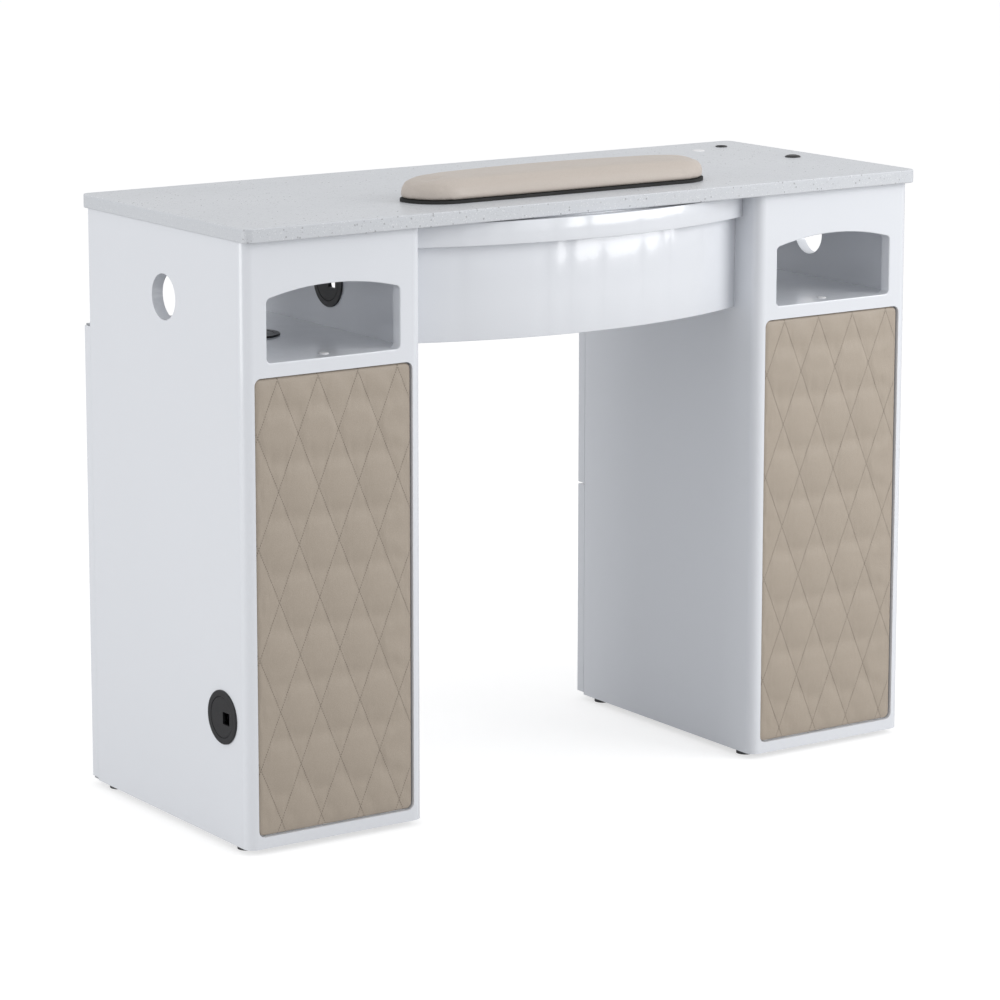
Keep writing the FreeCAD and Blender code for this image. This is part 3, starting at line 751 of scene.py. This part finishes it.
def settle(item: bpy.types.Object, pinned: Sequence[float], filling: Filling) -> None:
    """Inflate a skin with the cloth solver and keep the result in its mesh.

    Args:
        item: the object, whose mesh is the skin at rest.
        pinned: how firmly each vertex is held, from 0 to 1.
        filling: what fills the skin.
    """
    group = item.vertex_groups.new(name="held")
    for index, weight in enumerate(pinned):
        if weight > 0:
            group.add([index], weight, "REPLACE")
    cloth = item.modifiers.new("skin", "CLOTH")
    cloth.settings.quality = filling.quality
    cloth.settings.mass = filling.mass
    cloth.settings.use_pressure = True
    cloth.settings.uniform_pressure_force = filling.pressure
    cloth.settings.vertex_group_mass = "held"
    cloth.settings.effector_weights.gravity = 0.0
    cloth.settings.tension_stiffness = filling.stretch
    cloth.settings.compression_stiffness = filling.stretch
    cloth.settings.shear_stiffness = filling.shear
    cloth.settings.bending_stiffness = filling.bend
    cloth.settings.shrink_min = -filling.slack
    cloth.collision_settings.use_collision = False
    cloth.collision_settings.use_self_collision = False
    cloth.point_cache.frame_start, cloth.point_cache.frame_end = 1, SETTLE_FRAMES
    scene = bpy.context.scene
    for step in range(1, SETTLE_FRAMES + 1):
        scene.frame_set(step)
    count = len(item.data.vertices)
    rest, moved = np.empty(count * 3), np.empty(count * 3)
    item.data.vertices.foreach_get("co", rest)
    settled = item.evaluated_get(bpy.context.evaluated_depsgraph_get())
    settled.data.vertices.foreach_get("co", moved)
    shift = (moved - rest).reshape(-1, 3)
    far = np.linalg.norm(shift, axis=1, keepdims=True)
    LOG.info("%s settled: furthest %.2f mm, mean %.2f mm", item.name, far.max() / MM, far.mean() / MM)
    soft = filling.reach * np.tanh(far / filling.reach) / np.maximum(far, TINY)
    item.modifiers.remove(cloth)
    item.vertex_groups.remove(group)
    item.data.vertices.foreach_set("co", (rest.reshape(-1, 3) + shift * soft).ravel())
    item.data.update()
    scene.frame_set(1)


def subdivide(item: bpy.types.Object) -> None:
    """Add one level of smooth subdivision to a piece."""
    modifier = item.modifiers.new("smooth", "SUBSURF")
    modifier.levels = modifier.render_levels = 1


# ---------------------------------------------------------------- finishes of this table


@dataclass(frozen=True)
class Palette:
    """Every finish of the table."""

    lacquer: Finish = Lacquer("lacquer", colour=(0.79, 0.81, 0.85))
    quartz: Finish = Quartz("quartz", colour=(0.64, 0.66, 0.69), grey_chip=(0.27, 0.27, 0.28),
                            white_chip=(0.86, 0.87, 0.88))
    quilt_leather: Leather = Leather("leather", colour=(0.45, 0.385, 0.315), crease=(0.31, 0.26, 0.21))
    # Painted light: a lighter, greyer copy of the quilt leather, standing in for the light that falls on the
    # rest's top and its sheen.
    lit_rest_leather: Leather = Leather("lit_rest_leather", colour=(0.56, 0.50, 0.45), crease=(0.42, 0.37, 0.32))
    thread: Finish = Thread("thread", colour=(0.47, 0.40, 0.33))
    black_plastic: Finish = Moulding("black_plastic", colour=(0.012, 0.012, 0.014), smooth=0.3, dull=0.42)
    glide_plastic: Finish = Moulding("glide_plastic", colour=(0.07, 0.07, 0.072), smooth=0.5, dull=0.65)
    white_plastic: Finish = Moulding("white_plastic", colour=(0.82, 0.82, 0.83), smooth=0.28, dull=0.4)
    zinc: Finish = Metal("zinc", colour=(0.62, 0.64, 0.67), smooth=0.28, dull=0.42, rolled=True)
    melamine: Finish = FacedBoard("melamine", colour=(0.78, 0.785, 0.79))
    chrome: Finish = Metal("chrome", colour=(0.80, 0.81, 0.83), smooth=0.05, dull=0.11)
    rubber: Finish = Moulding("rubber", colour=(0.018, 0.018, 0.018), smooth=0.75, dull=0.9,
                              texture_scale=900.0)
    hardboard: Finish = FacedBoard("hardboard", colour=(0.74, 0.735, 0.71))

    def for_slot(self, slot: Slot) -> Finish:
        """The finish that stands for one of the record's slots.

        Args:
            slot: the slot.

        Returns:
            Its finish.
        """
        return {
            Slot.LACQUER: self.lacquer, Slot.QUARTZ: self.quartz, Slot.LEATHER: self.quilt_leather,
            Slot.BLACK_PLASTIC: self.black_plastic, Slot.GLIDE_PLASTIC: self.glide_plastic,
            Slot.WHITE_PLASTIC: self.white_plastic, Slot.ZINC: self.zinc, Slot.MELAMINE: self.melamine,
            Slot.CHROME: self.chrome, Slot.RUBBER: self.rubber, Slot.HARDBOARD: self.hardboard,
        }[slot]


PALETTE = Palette()


# ---------------------------------------------------------------- sub-assemblies


@dataclass
class Joinery:
    """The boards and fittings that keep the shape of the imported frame."""

    eased: tuple[str, ...] = ("apron_panel", "apron_rail", "stretcher", "door_shelf")
    ease: float = 0.8 * MM
    weld: float = 0.01 * MM
    crisp: float = math.radians(35)

    def dress(self) -> None:
        """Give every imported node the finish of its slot, and ease the loose boards' edges."""
        for name, item in sorted(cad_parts.items()):
            for holder in item.material_slots:
                slot = Slot(holder.material.name)
                holder.material = PALETTE.for_slot(slot).material()
            LOG.info("node %s dressed", name)
        for name in self.eased:
            self.ease_edges(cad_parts[name])

    def ease_edges(self, item: bpy.types.Object) -> None:
        """Round a board's arrises with modifiers, which leave its mesh alone."""
        weld = item.modifiers.new("weld", "WELD")
        weld.merge_threshold = self.weld
        bevel = item.modifiers.new("ease", "BEVEL")
        bevel.width = self.ease
        bevel.segments = 2
        bevel.limit_method = "ANGLE"
        bevel.angle_limit = self.crisp
        bevel.harden_normals = True


@dataclass
class QuiltedPad:
    """Leather panel sewn in diamonds over thin foam, set into a pedestal's front."""

    side: Side
    half_wide: float = 29.5 * MM
    half_tall: float = 70.9 * MM
    shift: float = 6.5 * MM
    row: float = 536 * MM
    cells: int = 10
    corner: float = 8 * MM
    roll: float = 3.5 * MM
    seam_level: float = 3.3 * MM
    filling: Filling = Filling(pressure=5.0, reach=3.0 * MM, stretch=12.0, shear=6.0, bend=0.4,
                               slack=0.012)
    lip: float = 0.4 * MM
    turn_in: float = 0.5 * MM
    cuts: int = 16
    snap: float = 0.02 * MM
    merge: float = 0.12 * MM
    rim_band: float = 0.1 * MM
    seam_band: float = 0.25
    thread_radius: float = 0.3 * MM
    thread_sides: int = 6
    stitch_gap: float = 0.9 * MM
    arch: tuple[tuple[float, float, float], ...] = (
        (0.0, -0.25, 0.55), (0.2, 0.3, 1.0), (0.5, 0.55, 1.08), (0.8, 0.3, 1.0), (1.0, -0.25, 0.55))
    lattice: Lattice = field(init=False)
    low: Vector = field(init=False)
    high: Vector = field(init=False)

    def __post_init__(self) -> None:
        """Read the panel's place from the frame."""
        self.low, self.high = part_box(f"{self.side.word}_pad_panel")
        middle = (self.low.x + self.high.x) / 2
        self.lattice = Lattice(self.half_wide, self.half_tall, middle + self.shift, self.row)

    @property
    def seam_y(self) -> float:
        """y of the sewn seams, a little behind the panel's front."""
        return self.low.y + self.seam_level

    def finish(self) -> Finish:
        """Leather with this panel's seams and needle holes painted in as shade."""
        return Leather(f"{self.side.word}_quilted_leather", colour=PALETTE.quilt_leather.colour,
                       crease=PALETTE.quilt_leather.crease, quilt=self.lattice)

    def core(self) -> tuple[np.ndarray, np.ndarray]:
        """Corners of the rectangle on which the outline's corner arcs are centred."""
        return (np.array([self.low.x + self.corner, self.low.z + self.corner]),
                np.array([self.high.x - self.corner, self.high.z - self.corner]))

    def reach(self, spot: np.ndarray) -> float:
        """How far a point in the plane lies beyond that rectangle."""
        return float(np.linalg.norm(spot - np.clip(spot, *self.core())))

    def sides(self) -> tuple[list[float], list[float]]:
        """The panel's four corners as positions along each of the two seam directions."""
        corners = [self.lattice.to_sides(x, z)
                   for x in (self.low.x, self.high.x) for z in (self.low.z, self.high.z)]
        return [u for u, _ in corners], [v for _, v in corners]

    def outward(self, x: float, z: float) -> np.ndarray:
        """Direction out of the panel's outline.

        Args:
            x: x of a point near the outline.
            z: z of that point.

        Returns:
            The direction as x and z, of length 1.
        """
        spot = np.array([x, z])
        away = spot - np.clip(spot, *self.core())
        return away / max(float(np.linalg.norm(away)), TINY)

    def skin(self) -> tuple[bpy.types.Mesh, list[float]]:
        """Flat front skin gridded along the seams.

        Returns:
            The mesh, and how firmly the sewing holds each vertex.
        """
        lattice = self.lattice
        mesh = bmesh.new()
        (u_low, u_high), (v_low, v_high) = ((math.floor(min(run)), math.ceil(max(run)))
                                            for run in self.sides())
        columns, rows = (u_high - u_low) * self.cells + 1, (v_high - v_low) * self.cells + 1
        grid = []
        for i in range(columns):
            for j in range(rows):
                x, z = lattice.to_plane(u_low + i / self.cells, v_low + j / self.cells)
                grid.append(mesh.verts.new((x, self.seam_y, z)))
        for i in range(columns - 1):
            for j in range(rows - 1):
                quad = (i * rows + j, (i + 1) * rows + j, (i + 1) * rows + j + 1, i * rows + j + 1)
                mesh.faces.new([grid[k] for k in quad])
        self.clip(mesh)
        bmesh.ops.recalc_face_normals(mesh, faces=mesh.faces[:])
        if sum(face.normal.y for face in mesh.faces) > 0:
            bmesh.ops.reverse_faces(mesh, faces=mesh.faces[:])
        held = [self.hold(vertex.co) for vertex in mesh.verts]
        skin = bpy.data.meshes.new(f"{self.side.word}_quilted_pad")
        mesh.to_mesh(skin)
        mesh.free()
        skin.polygons.foreach_set("use_smooth", [True] * len(skin.polygons))
        return skin, held

    def clip(self, mesh: bmesh.types.BMesh) -> None:
        """Cut the grid to the panel's outline, less the rolled rim.

        Args:
            mesh: the gridded skin, cut in place.
        """
        near, far = self.core()
        radius = self.corner - self.roll
        for turn in range(self.cuts):
            angle = turn * math.tau / self.cuts
            way = np.array([math.cos(angle), math.sin(angle)])
            support = np.where(way > 1e-6, far, near) + radius * way
            geometry = mesh.verts[:] + mesh.edges[:] + mesh.faces[:]
            bmesh.ops.bisect_plane(mesh, geom=geometry, dist=self.snap, clear_outer=True,
                                   plane_co=(support[0], 0, support[1]), plane_no=(way[0], 0, way[1]))
        bmesh.ops.remove_doubles(mesh, verts=mesh.verts[:], dist=self.merge)

    def close(self, item: bpy.types.Object) -> None:
        """Roll the filled skin round the panel's edge and close its back.

        Args:
            item: the pad, whose mesh is closed in place.
        """
        mesh = bmesh.new()
        mesh.from_mesh(item.data)
        self.roll_rim(mesh)
        bmesh.ops.recalc_face_normals(mesh, faces=mesh.faces[:])
        for face in mesh.faces:
            face.smooth = True
        mesh.to_mesh(item.data)
        mesh.free()

    def roll_rim(self, mesh: bmesh.types.BMesh) -> None:
        """Roll the skin round the panel's edge to a flat back.

        Args:
            mesh: the filled skin, extended in place.
        """
        rim = [edge for edge in mesh.edges if edge.is_boundary]
        deep = self.high.y - self.seam_y
        steps = [(self.roll * math.sin(a), self.roll * (1 - math.cos(a)))
                 for a in (0.45, 0.95, math.pi / 2)]
        steps += [(self.roll, deep - self.lip), (self.roll - self.turn_in, deep)]
        start = {vertex: vertex.co.copy() for edge in rim for vertex in edge.verts}
        for out, back in steps:
            made = bmesh.ops.extrude_edge_only(mesh, edges=rim)["geom"]
            fresh = {}
            for vertex in (piece for piece in made if isinstance(piece, bmesh.types.BMVert)):
                origin = min(start, key=lambda old: (old.co - vertex.co).length_squared)
                fresh[vertex] = start[origin]
            for vertex, origin in fresh.items():
                way = self.outward(origin.x, origin.z)
                vertex.co = (origin.x + way[0] * out, self.seam_y + back, origin.z + way[1] * out)
            start = fresh
            rim = [piece for piece in made if isinstance(piece, bmesh.types.BMEdge) and piece.is_boundary]
        back = bmesh.ops.contextual_create(mesh, geom=rim)["faces"]
        bmesh.ops.triangulate(mesh, faces=back, ngon_method="BEAUTY")

    def hold(self, spot: Vector) -> float:
        """How firmly a vertex is held.

        Args:
            spot: the vertex's place.

        Returns:
            1 on a seam and on the rim, 0 elsewhere.
        """
        if self.reach(np.array([spot.x, spot.z])) > self.corner - self.roll - self.rim_band:
            return 1.0
        sides = self.lattice.to_sides(spot.x, spot.z)
        return 1.0 if min(abs(side - round(side)) for side in sides) < self.seam_band / self.cells else 0.0

    def stitches(self) -> bpy.types.Mesh:
        """Thread of every seam, one small arched bead for each stitch."""
        lattice = self.lattice
        per_side = lattice.side / lattice.stitch
        edge = self.corner - (self.roll + self.lip)
        half_gap = self.stitch_gap / 2
        parts = []
        for family in (0, 1):
            along, lines = self.sides()[family], self.sides()[1 - family]
            for line in range(math.floor(min(lines)), math.ceil(max(lines)) + 1):
                for step in range(math.floor(min(along) * per_side), math.ceil(max(along) * per_side)):
                    ends = []
                    for share in (half_gap, lattice.stitch - half_gap):
                        run = (step * lattice.stitch + share) / lattice.side
                        sides = (run, line) if family == 0 else (line, run)
                        ends.append(np.array(lattice.to_plane(*sides)))
                    if all(self.reach(end) < edge for end in ends):
                        parts.append(self.bead(*ends))
        points, faces = joined(parts)
        return Piece.from_arrays(f"{self.side.word}_pad_stitching", points, faces, True)

    def bead(self, start: np.ndarray, end: np.ndarray) -> Shape:
        """One stitch: a short arched rod between two holes.

        Args:
            start: x and z of the first hole.
            end: x and z of the next one.

        Returns:
            Its points and faces.
        """
        along = (end - start) / np.linalg.norm(end - start)
        over = np.array([-along[1], 0.0, along[0]])
        points = []
        for share, lift, size in self.arch:
            middle = start + (end - start) * share
            base = np.array([middle[0], self.seam_y - lift * self.thread_radius, middle[1]])
            for turn in range(self.thread_sides):
                angle = turn * math.tau / self.thread_sides
                rim = over * math.cos(angle) + np.array([0.0, -1.0, 0.0]) * math.sin(angle)
                points.append(base + rim * self.thread_radius * size)
        return np.array(points), turned_faces(len(self.arch), self.thread_sides, True)

    def build(self) -> None:
        """Sew the panel, let the foam fill it and lay the thread."""
        skin, held = self.skin()
        name = f"{self.side.word}_quilted_pad"
        pad = Piece.add(name, skin, self.finish(), "table", Slot.LEATHER)
        settle(pad, held, self.filling)
        self.close(pad)
        subdivide(pad)
        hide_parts(f"{self.side.word}_pad_panel")
        Piece.add(f"{self.side.word}_pad_stitching", self.stitches(), PALETTE.thread, "table", Slot.LEATHER)


@dataclass
class WristRest:
    """Half-moon of foam upholstered in plain leather, loose on the top."""

    half: float = 236 * MM
    front: float = -163 * MM
    depth: float = 118 * MM
    corner: float = 54 * MM
    around: int = 220
    voxel: float = 4.0 * MM
    filling: Filling = Filling(pressure=4.0, reach=1.5 * MM, stretch=15.0, shear=8.0, bend=1.0)
    shrink: float = 1.3 * MM
    lift: float = 0.3 * MM
    hem: float = 0.05 * MM
    held_up_to: float = 2.5 * MM
    pleat_tall: float = 14 * MM
    pleat_deep: float = 0.55 * MM
    pleats: int = 26
    profile: tuple[tuple[float, float], ...] = (
        (0.0, 0.0), (0.0, 0.06), (0.0, 0.16), (0.0, 0.3), (0.5, 0.46), (2.2, 0.64), (5.6, 0.80),
        (11.5, 0.905), (19.0, 0.955), (28.0, 0.982), (38.0, 0.995), (47.0, 1.0))
    low: Vector = field(init=False)
    high: Vector = field(init=False)

    def __post_init__(self) -> None:
        """Read the pad's place from the frame."""
        self.low, self.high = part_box("wrist_rest_pad")

    def outline(self, inset: float) -> np.ndarray:
        """Closed D outline: straight front, round corners, half ellipse behind.

        Args:
            inset: how far inside the full outline, in metres.

        Returns:
            Evenly spaced points as rows of x and y.
        """
        half, corner = self.half - inset, self.corner - inset
        shoulder = self.front + inset + corner
        rear = self.depth - self.corner - inset
        dense = []
        for a in np.linspace(-math.pi / 2, 0, 60):
            dense.append((half - corner + corner * math.cos(a), shoulder + corner * math.sin(a)))
        for a in np.linspace(0, math.pi, 400)[1:]:
            dense.append((half * math.cos(a), shoulder + rear * math.sin(a)))
        for a in np.linspace(math.pi, 1.5 * math.pi, 60)[1:]:
            dense.append((corner - half + corner * math.cos(a), shoulder + corner * math.sin(a)))
        loop = np.array([*dense, dense[0]])
        steps = np.concatenate([[0], np.cumsum(np.linalg.norm(np.diff(loop, axis=0), axis=1))])
        even = np.linspace(0, steps[-1], self.around, endpoint=False)
        return np.stack([np.interp(even, steps, loop[:, 0]), np.interp(even, steps, loop[:, 1])], 1)

    def shell(self) -> Shape:
        """Crowned body of the rest, lofted from its profile of insets and rises."""
        floor, top = self.low.z + self.lift, self.high.z - self.shrink
        tall = top - floor
        rings = []
        for inset, rise in self.profile:
            ring = self.outline(inset * MM + self.shrink)
            rings.append(np.column_stack([ring, np.full(self.around, floor + tall * rise)]))
        return np.concatenate(rings), turned_faces(len(self.profile), self.around, True)

    def build(self) -> None:
        """Upholster the rest: remesh the body, fill it, then gather the leather at its front corners."""
        points, faces = self.shell()
        mesh = Piece.from_arrays("wrist_rest_cushion", points, faces, True)
        cushion = Piece.add("wrist_rest_cushion", mesh, PALETTE.lit_rest_leather, "wrist_rest", Slot.LEATHER)
        self.remesh(cushion)
        level = self.low.z + self.held_up_to
        held = [1.0 if vertex.co.z < level else 0.0 for vertex in cushion.data.vertices]
        settle(cushion, held, self.filling)
        self.gather(cushion)
        subdivide(cushion)
        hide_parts("wrist_rest_pad")

    def remesh(self, item: bpy.types.Object) -> None:
        """Give the body even square faces."""
        modifier = item.modifiers.new("even", "REMESH")
        modifier.mode = "VOXEL"
        modifier.voxel_size = self.voxel
        modifier.use_smooth_shade = True
        remeshed = item.evaluated_get(bpy.context.evaluated_depsgraph_get())
        even = bpy.data.meshes.new_from_object(remeshed)
        item.modifiers.remove(modifier)
        even.name = item.data.name
        item.data = even
        if not even.materials:
            even.materials.append(PALETTE.lit_rest_leather.material())

    def gather(self, item: bpy.types.Object) -> None:
        """Pleat the leather low at the front corners, and keep the rest between base and top.

        Args:
            item: the cushion, whose mesh is changed in place.
        """
        floor, top = self.low.z, self.high.z
        for vertex in item.data.vertices:
            spot = vertex.co
            spot.z = min(max(spot.z, floor + self.hem), top)
            for sign in (-1, 1):
                hub = Vector((sign * (self.half - self.corner), self.front + self.corner))
                arm = Vector((spot.x, spot.y)) - hub
                if arm.x * sign <= 0 or arm.y >= 0 or spot.z > floor + self.pleat_tall:
                    continue
                angle = math.atan2(-arm.y, arm.x * sign)
                fade = (1 - (spot.z - floor) / self.pleat_tall) ** 2 * math.sin(2 * angle)
                push = self.pleat_deep * fade * math.sin(angle * self.pleats)
                spot.x += sign * math.cos(angle) * push
                spot.y -= math.sin(angle) * push


@dataclass
class Hardware:
    """Screw heads on the drawer slides and behind the handles."""

    head: float = 3.6 * MM
    dome: float = 1.1 * MM
    cross: float = 1.7 * MM
    blade: float = 0.28 * MM
    hub: float = 0.2 * MM
    web: float = 1.2 * MM
    slide_levels: tuple[float, ...] = (94.0 * MM, 405.0 * MM)
    slide_depths: tuple[float, ...] = (-130 * MM, 10 * MM, 150 * MM)
    handle_half: float = 48 * MM

    def screw_parts(self) -> Shape:
        """Domed screw head with a cross recess, its underside at height 0."""
        r, h = self.head, self.dome
        points, faces = turned(((r, 0.0), (r, h * 0.25), (r * 0.9, h * 0.62), (r * 0.68, h * 0.88),
                                (r * 0.4, h), (r * 0.38, h * 0.35)), 24)
        blades = []
        for angle in (0.0, math.pi / 2):
            long, wide = self.cross * 0.86, self.blade
            turn = np.array([[math.cos(angle), -math.sin(angle)], [math.sin(angle), math.cos(angle)]])
            for way in (-1, 1):
                flat = np.array([(way * self.hub, -wide), (way * long, -wide), (way * long, wide),
                                 (way * self.hub, wide)]) @ turn.T
                lower = np.column_stack([flat, np.full(4, h * 0.3)])
                upper = np.column_stack([flat, np.full(4, h * 0.72)])
                blades.append((np.concatenate([lower, upper]), turned_faces(2, 4, True)))
        return joined([(points, faces), *blades])

    def screws(self, name: str, body: str, places: Sequence[Spot]) -> None:
        """Put screw heads on a body.

        Args:
            name: name of the piece that holds them.
            body: the body that it rides on.
            places: for each screw, where it sits and which way it faces.
        """
        points, faces = self.screw_parts()
        whole = joined((placed(points, origin, way), faces) for origin, way in places)
        Piece.add(name, Piece.from_arrays(name, *whole, False), PALETTE.zinc, body, Slot.ZINC)

    def build(self) -> None:
        """Place the fasteners."""
        slides_low, slides_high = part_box("drawer_slides")
        webs = ((slides_low.x, 1.0), (slides_high.x, -1.0))
        self.screws("slide_screws", "table", [
            ((x + way * self.web, y, z), (way, 0, 0))
            for x, way in webs for z in self.slide_levels for y in self.slide_depths])
        for word in ("lower", "upper"):
            low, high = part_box(f"{word}_drawer_front")
            middle, centre = (low.x + high.x) / 2, (low.z + high.z) / 2
            self.screws(f"{word}_handle_screws", f"{word}_drawer", [
                ((middle + side * self.handle_half, low.y, centre), (0, -1, 0)) for side in (-1, 1)])
        low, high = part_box("door_handle")
        middle, centre = (low.x + high.x) / 2, (low.z + high.z) / 2
        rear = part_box("door")[0].y
        self.screws("door_handle_screws", "door_leaf", [
            ((middle, rear, centre + side * self.handle_half), (0, -1, 0)) for side in (-1, 1)])


@dataclass
class Caps:
    """Cover caps over the assembly screws inside the open compartments."""

    radius: float = 6.5 * MM
    rise: float = 1.4 * MM
    from_front: float = 9 * MM
    lock_y: float = -115 * MM
    lock_z: float = 708 * MM

    def cap(self, name: str, spot: Spot, finish: Finish, slot: Slot) -> None:
        """Put one cap on the table.

        Args:
            name: the piece's name.
            spot: where it sits and which way it faces.
            finish: what it is made of.
            slot: the record's slot that its finish belongs to.
        """
        r, h = self.radius, self.rise
        profile = ((r, 0.0), (r, h * 0.3), (r * 0.86, h * 0.8), (r * 0.6, h), (r * 0.2, h))
        points, faces = turned(profile, 36)
        mesh = Piece.from_arrays(name, placed(points, *spot), faces, True)
        Piece.add(name, mesh, finish, "table", slot)

    def build(self) -> None:
        """Place one low cap on each compartment's floor and a dark one near its ceiling."""
        for side in Side:
            low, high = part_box(f"{side.word}_cubby_floor")
            place = ((low.x + high.x) / 2, low.y + self.from_front, high.z)
            self.cap(f"{side.word}_floor_screw_cap", (place, (0, 0, 1)), PALETTE.white_plastic,
                     Slot.WHITE_PLASTIC)
            inner_low, inner_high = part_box(f"{side.word}_side_inner")
            face = inner_low.x if side is Side.LEFT else inner_high.x
            place = (face, self.lock_y, self.lock_z)
            self.cap(f"{side.word}_cam_lock_cap", (place, (float(side.value), 0, 0)),
                     PALETTE.black_plastic, Slot.BLACK_PLASTIC)


# ---------------------------------------------------------------- studio


@dataclass(frozen=True)
class Softbox:
    """Soft rectangular light: its place, its aim, its size in metres and its watts."""

    name: str
    place: tuple[float, float, float]
    aim: tuple[float, float, float]
    size: tuple[float, float]
    power: float

    def build(self) -> None:
        """Hang the light."""
        data = bpy.data.lights.new(self.name, "AREA")
        data.shape = "RECTANGLE"
        data.size, data.size_y = self.size
        data.energy = self.power
        lamp = bpy.data.objects.new(self.name, data)
        way = Vector(self.aim) - Vector(self.place)
        turn = way.to_track_quat("-Z", "Y").to_matrix().to_4x4()
        lamp.matrix_world = Matrix.Translation(Vector(self.place)) @ turn
        bpy.context.scene.collection.objects.link(lamp)


@dataclass
class Studio:
    """Plain pale floor, soft lights and the camera."""

    eye: Vector = field(default_factory=lambda: Vector((-2.9207, -4.2489, 1.4497)))
    yaw: float = 33.88
    pitch: float = -10.43
    roll: float = -0.06
    lens: float = 139.24
    sensor: float = 36.0
    shift_x: float = 0.0363
    shift_y: float = -0.100
    sky: float = 0.76
    floor_tone: float = 0.50
    floor_glow: float = 0.63
    floor_half: float = 30.0
    floor_rough: float = 0.9
    floor_shine: float = 0.1
    seen_sky: float = 1.1
    lights: tuple[Softbox, ...] = (
        Softbox("front_softbox", (2.1, -2.5, 1.6), (0.1, 0.0, 0.5), (2.0, 2.0), 55.0),
        Softbox("left_softbox", (-3.2, 0.2, 0.9), (0.0, 0.1, 0.5), (1.6, 1.6), 26.0),
        Softbox("top_softbox", (0.3, 0.1, 3.3), (0.0, 0.0, 0.8), (2.0, 1.6), 5.0),
    )

    def camera(self) -> None:
        """Camera in front of the table's left corner, looking slightly down."""
        yaw, pitch, roll = (math.radians(angle) for angle in (self.yaw, self.pitch, self.roll))
        ahead = Vector((math.sin(yaw) * math.cos(pitch), math.cos(yaw) * math.cos(pitch), math.sin(pitch)))
        right = ahead.cross(Vector((0, 0, 1))).normalized()
        up = right.cross(ahead)
        tilted_right = math.cos(roll) * right + math.sin(roll) * up
        tilted_up = math.cos(roll) * up - math.sin(roll) * right
        turn = Matrix((tilted_right, tilted_up, -ahead)).transposed().to_4x4()
        data = bpy.data.cameras.new("camera")
        data.lens, data.sensor_width = self.lens, self.sensor
        data.shift_x, data.shift_y = self.shift_x, self.shift_y
        data.clip_start, data.clip_end = 0.05, 60.0
        camera = bpy.data.objects.new("camera", data)
        camera.matrix_world = Matrix.Translation(self.eye) @ turn
        bpy.context.scene.collection.objects.link(camera)
        bpy.context.scene.camera = camera

    def world(self) -> None:
        """Even white surroundings, seen as pure white behind the table."""
        world = bpy.data.worlds.new("studio")
        bpy.context.scene.world = world
        world.use_nodes = True
        world.node_tree.nodes.clear()
        graph = Graph(world.node_tree)
        rays = graph.add("ShaderNodeLightPath").outputs["Is Camera Ray"]
        strength = graph.ramp(rays, 0.0, 1.0, self.sky, self.seen_sky)
        sky = graph.add("ShaderNodeBackground", {"Color": (0.985, 0.99, 1.0), "Strength": strength})
        graph.add("ShaderNodeOutputWorld", {"Surface": sky.outputs["Background"]})

    def floor(self) -> None:
        """Wide pale floor that reads as white away from the table."""
        far = self.floor_half
        points = np.array([(-far, -far, 0), (far, -far, 0), (far, far, 0), (-far, far, 0)], float)
        mesh = Piece.from_arrays("studio_floor", points, [(0, 1, 2, 3)], False)
        floor = bpy.data.objects.new("studio_floor", mesh)
        bpy.context.scene.collection.objects.link(floor)
        material = bpy.data.materials.new("studio_floor")
        material.use_nodes = True
        material.node_tree.nodes.clear()
        graph = Graph(material.node_tree)
        tone = (self.floor_tone,) * 3
        rays = graph.add("ShaderNodeLightPath").outputs["Is Camera Ray"]
        glow = graph.mix(rays, (0.0, 0.0, 0.0), (self.floor_glow,) * 3)
        shader = graph.add("ShaderNodeBsdfPrincipled", {"Base Color": tone, "Roughness": self.floor_rough,
                                                        "Emission Color": glow, "Emission Strength": 1.0})
        shader.inputs["Specular IOR Level"].default_value = self.floor_shine
        graph.add("ShaderNodeOutputMaterial", {"Surface": shader.outputs["BSDF"]})
        mesh.materials.append(material)

    def build(self) -> None:
        """Set up the camera, the surroundings, the floor and the lights."""
        self.camera()
        self.world()
        self.floor()
        for light in self.lights:
            light.build()
        bpy.context.scene.view_settings.view_transform = "Standard"


# ---------------------------------------------------------------- the whole table


def main() -> None:
    """Build the studio and every piece in order."""
    logging.basicConfig(level=logging.INFO, format="%(name)s: %(message)s")
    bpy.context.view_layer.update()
    Studio().build()
    Joinery().dress()
    for side in Side:
        QuiltedPad(side).build()
    WristRest().build()
    Hardware().build()
    Caps().build()


if __name__ == "__main__":
    main()
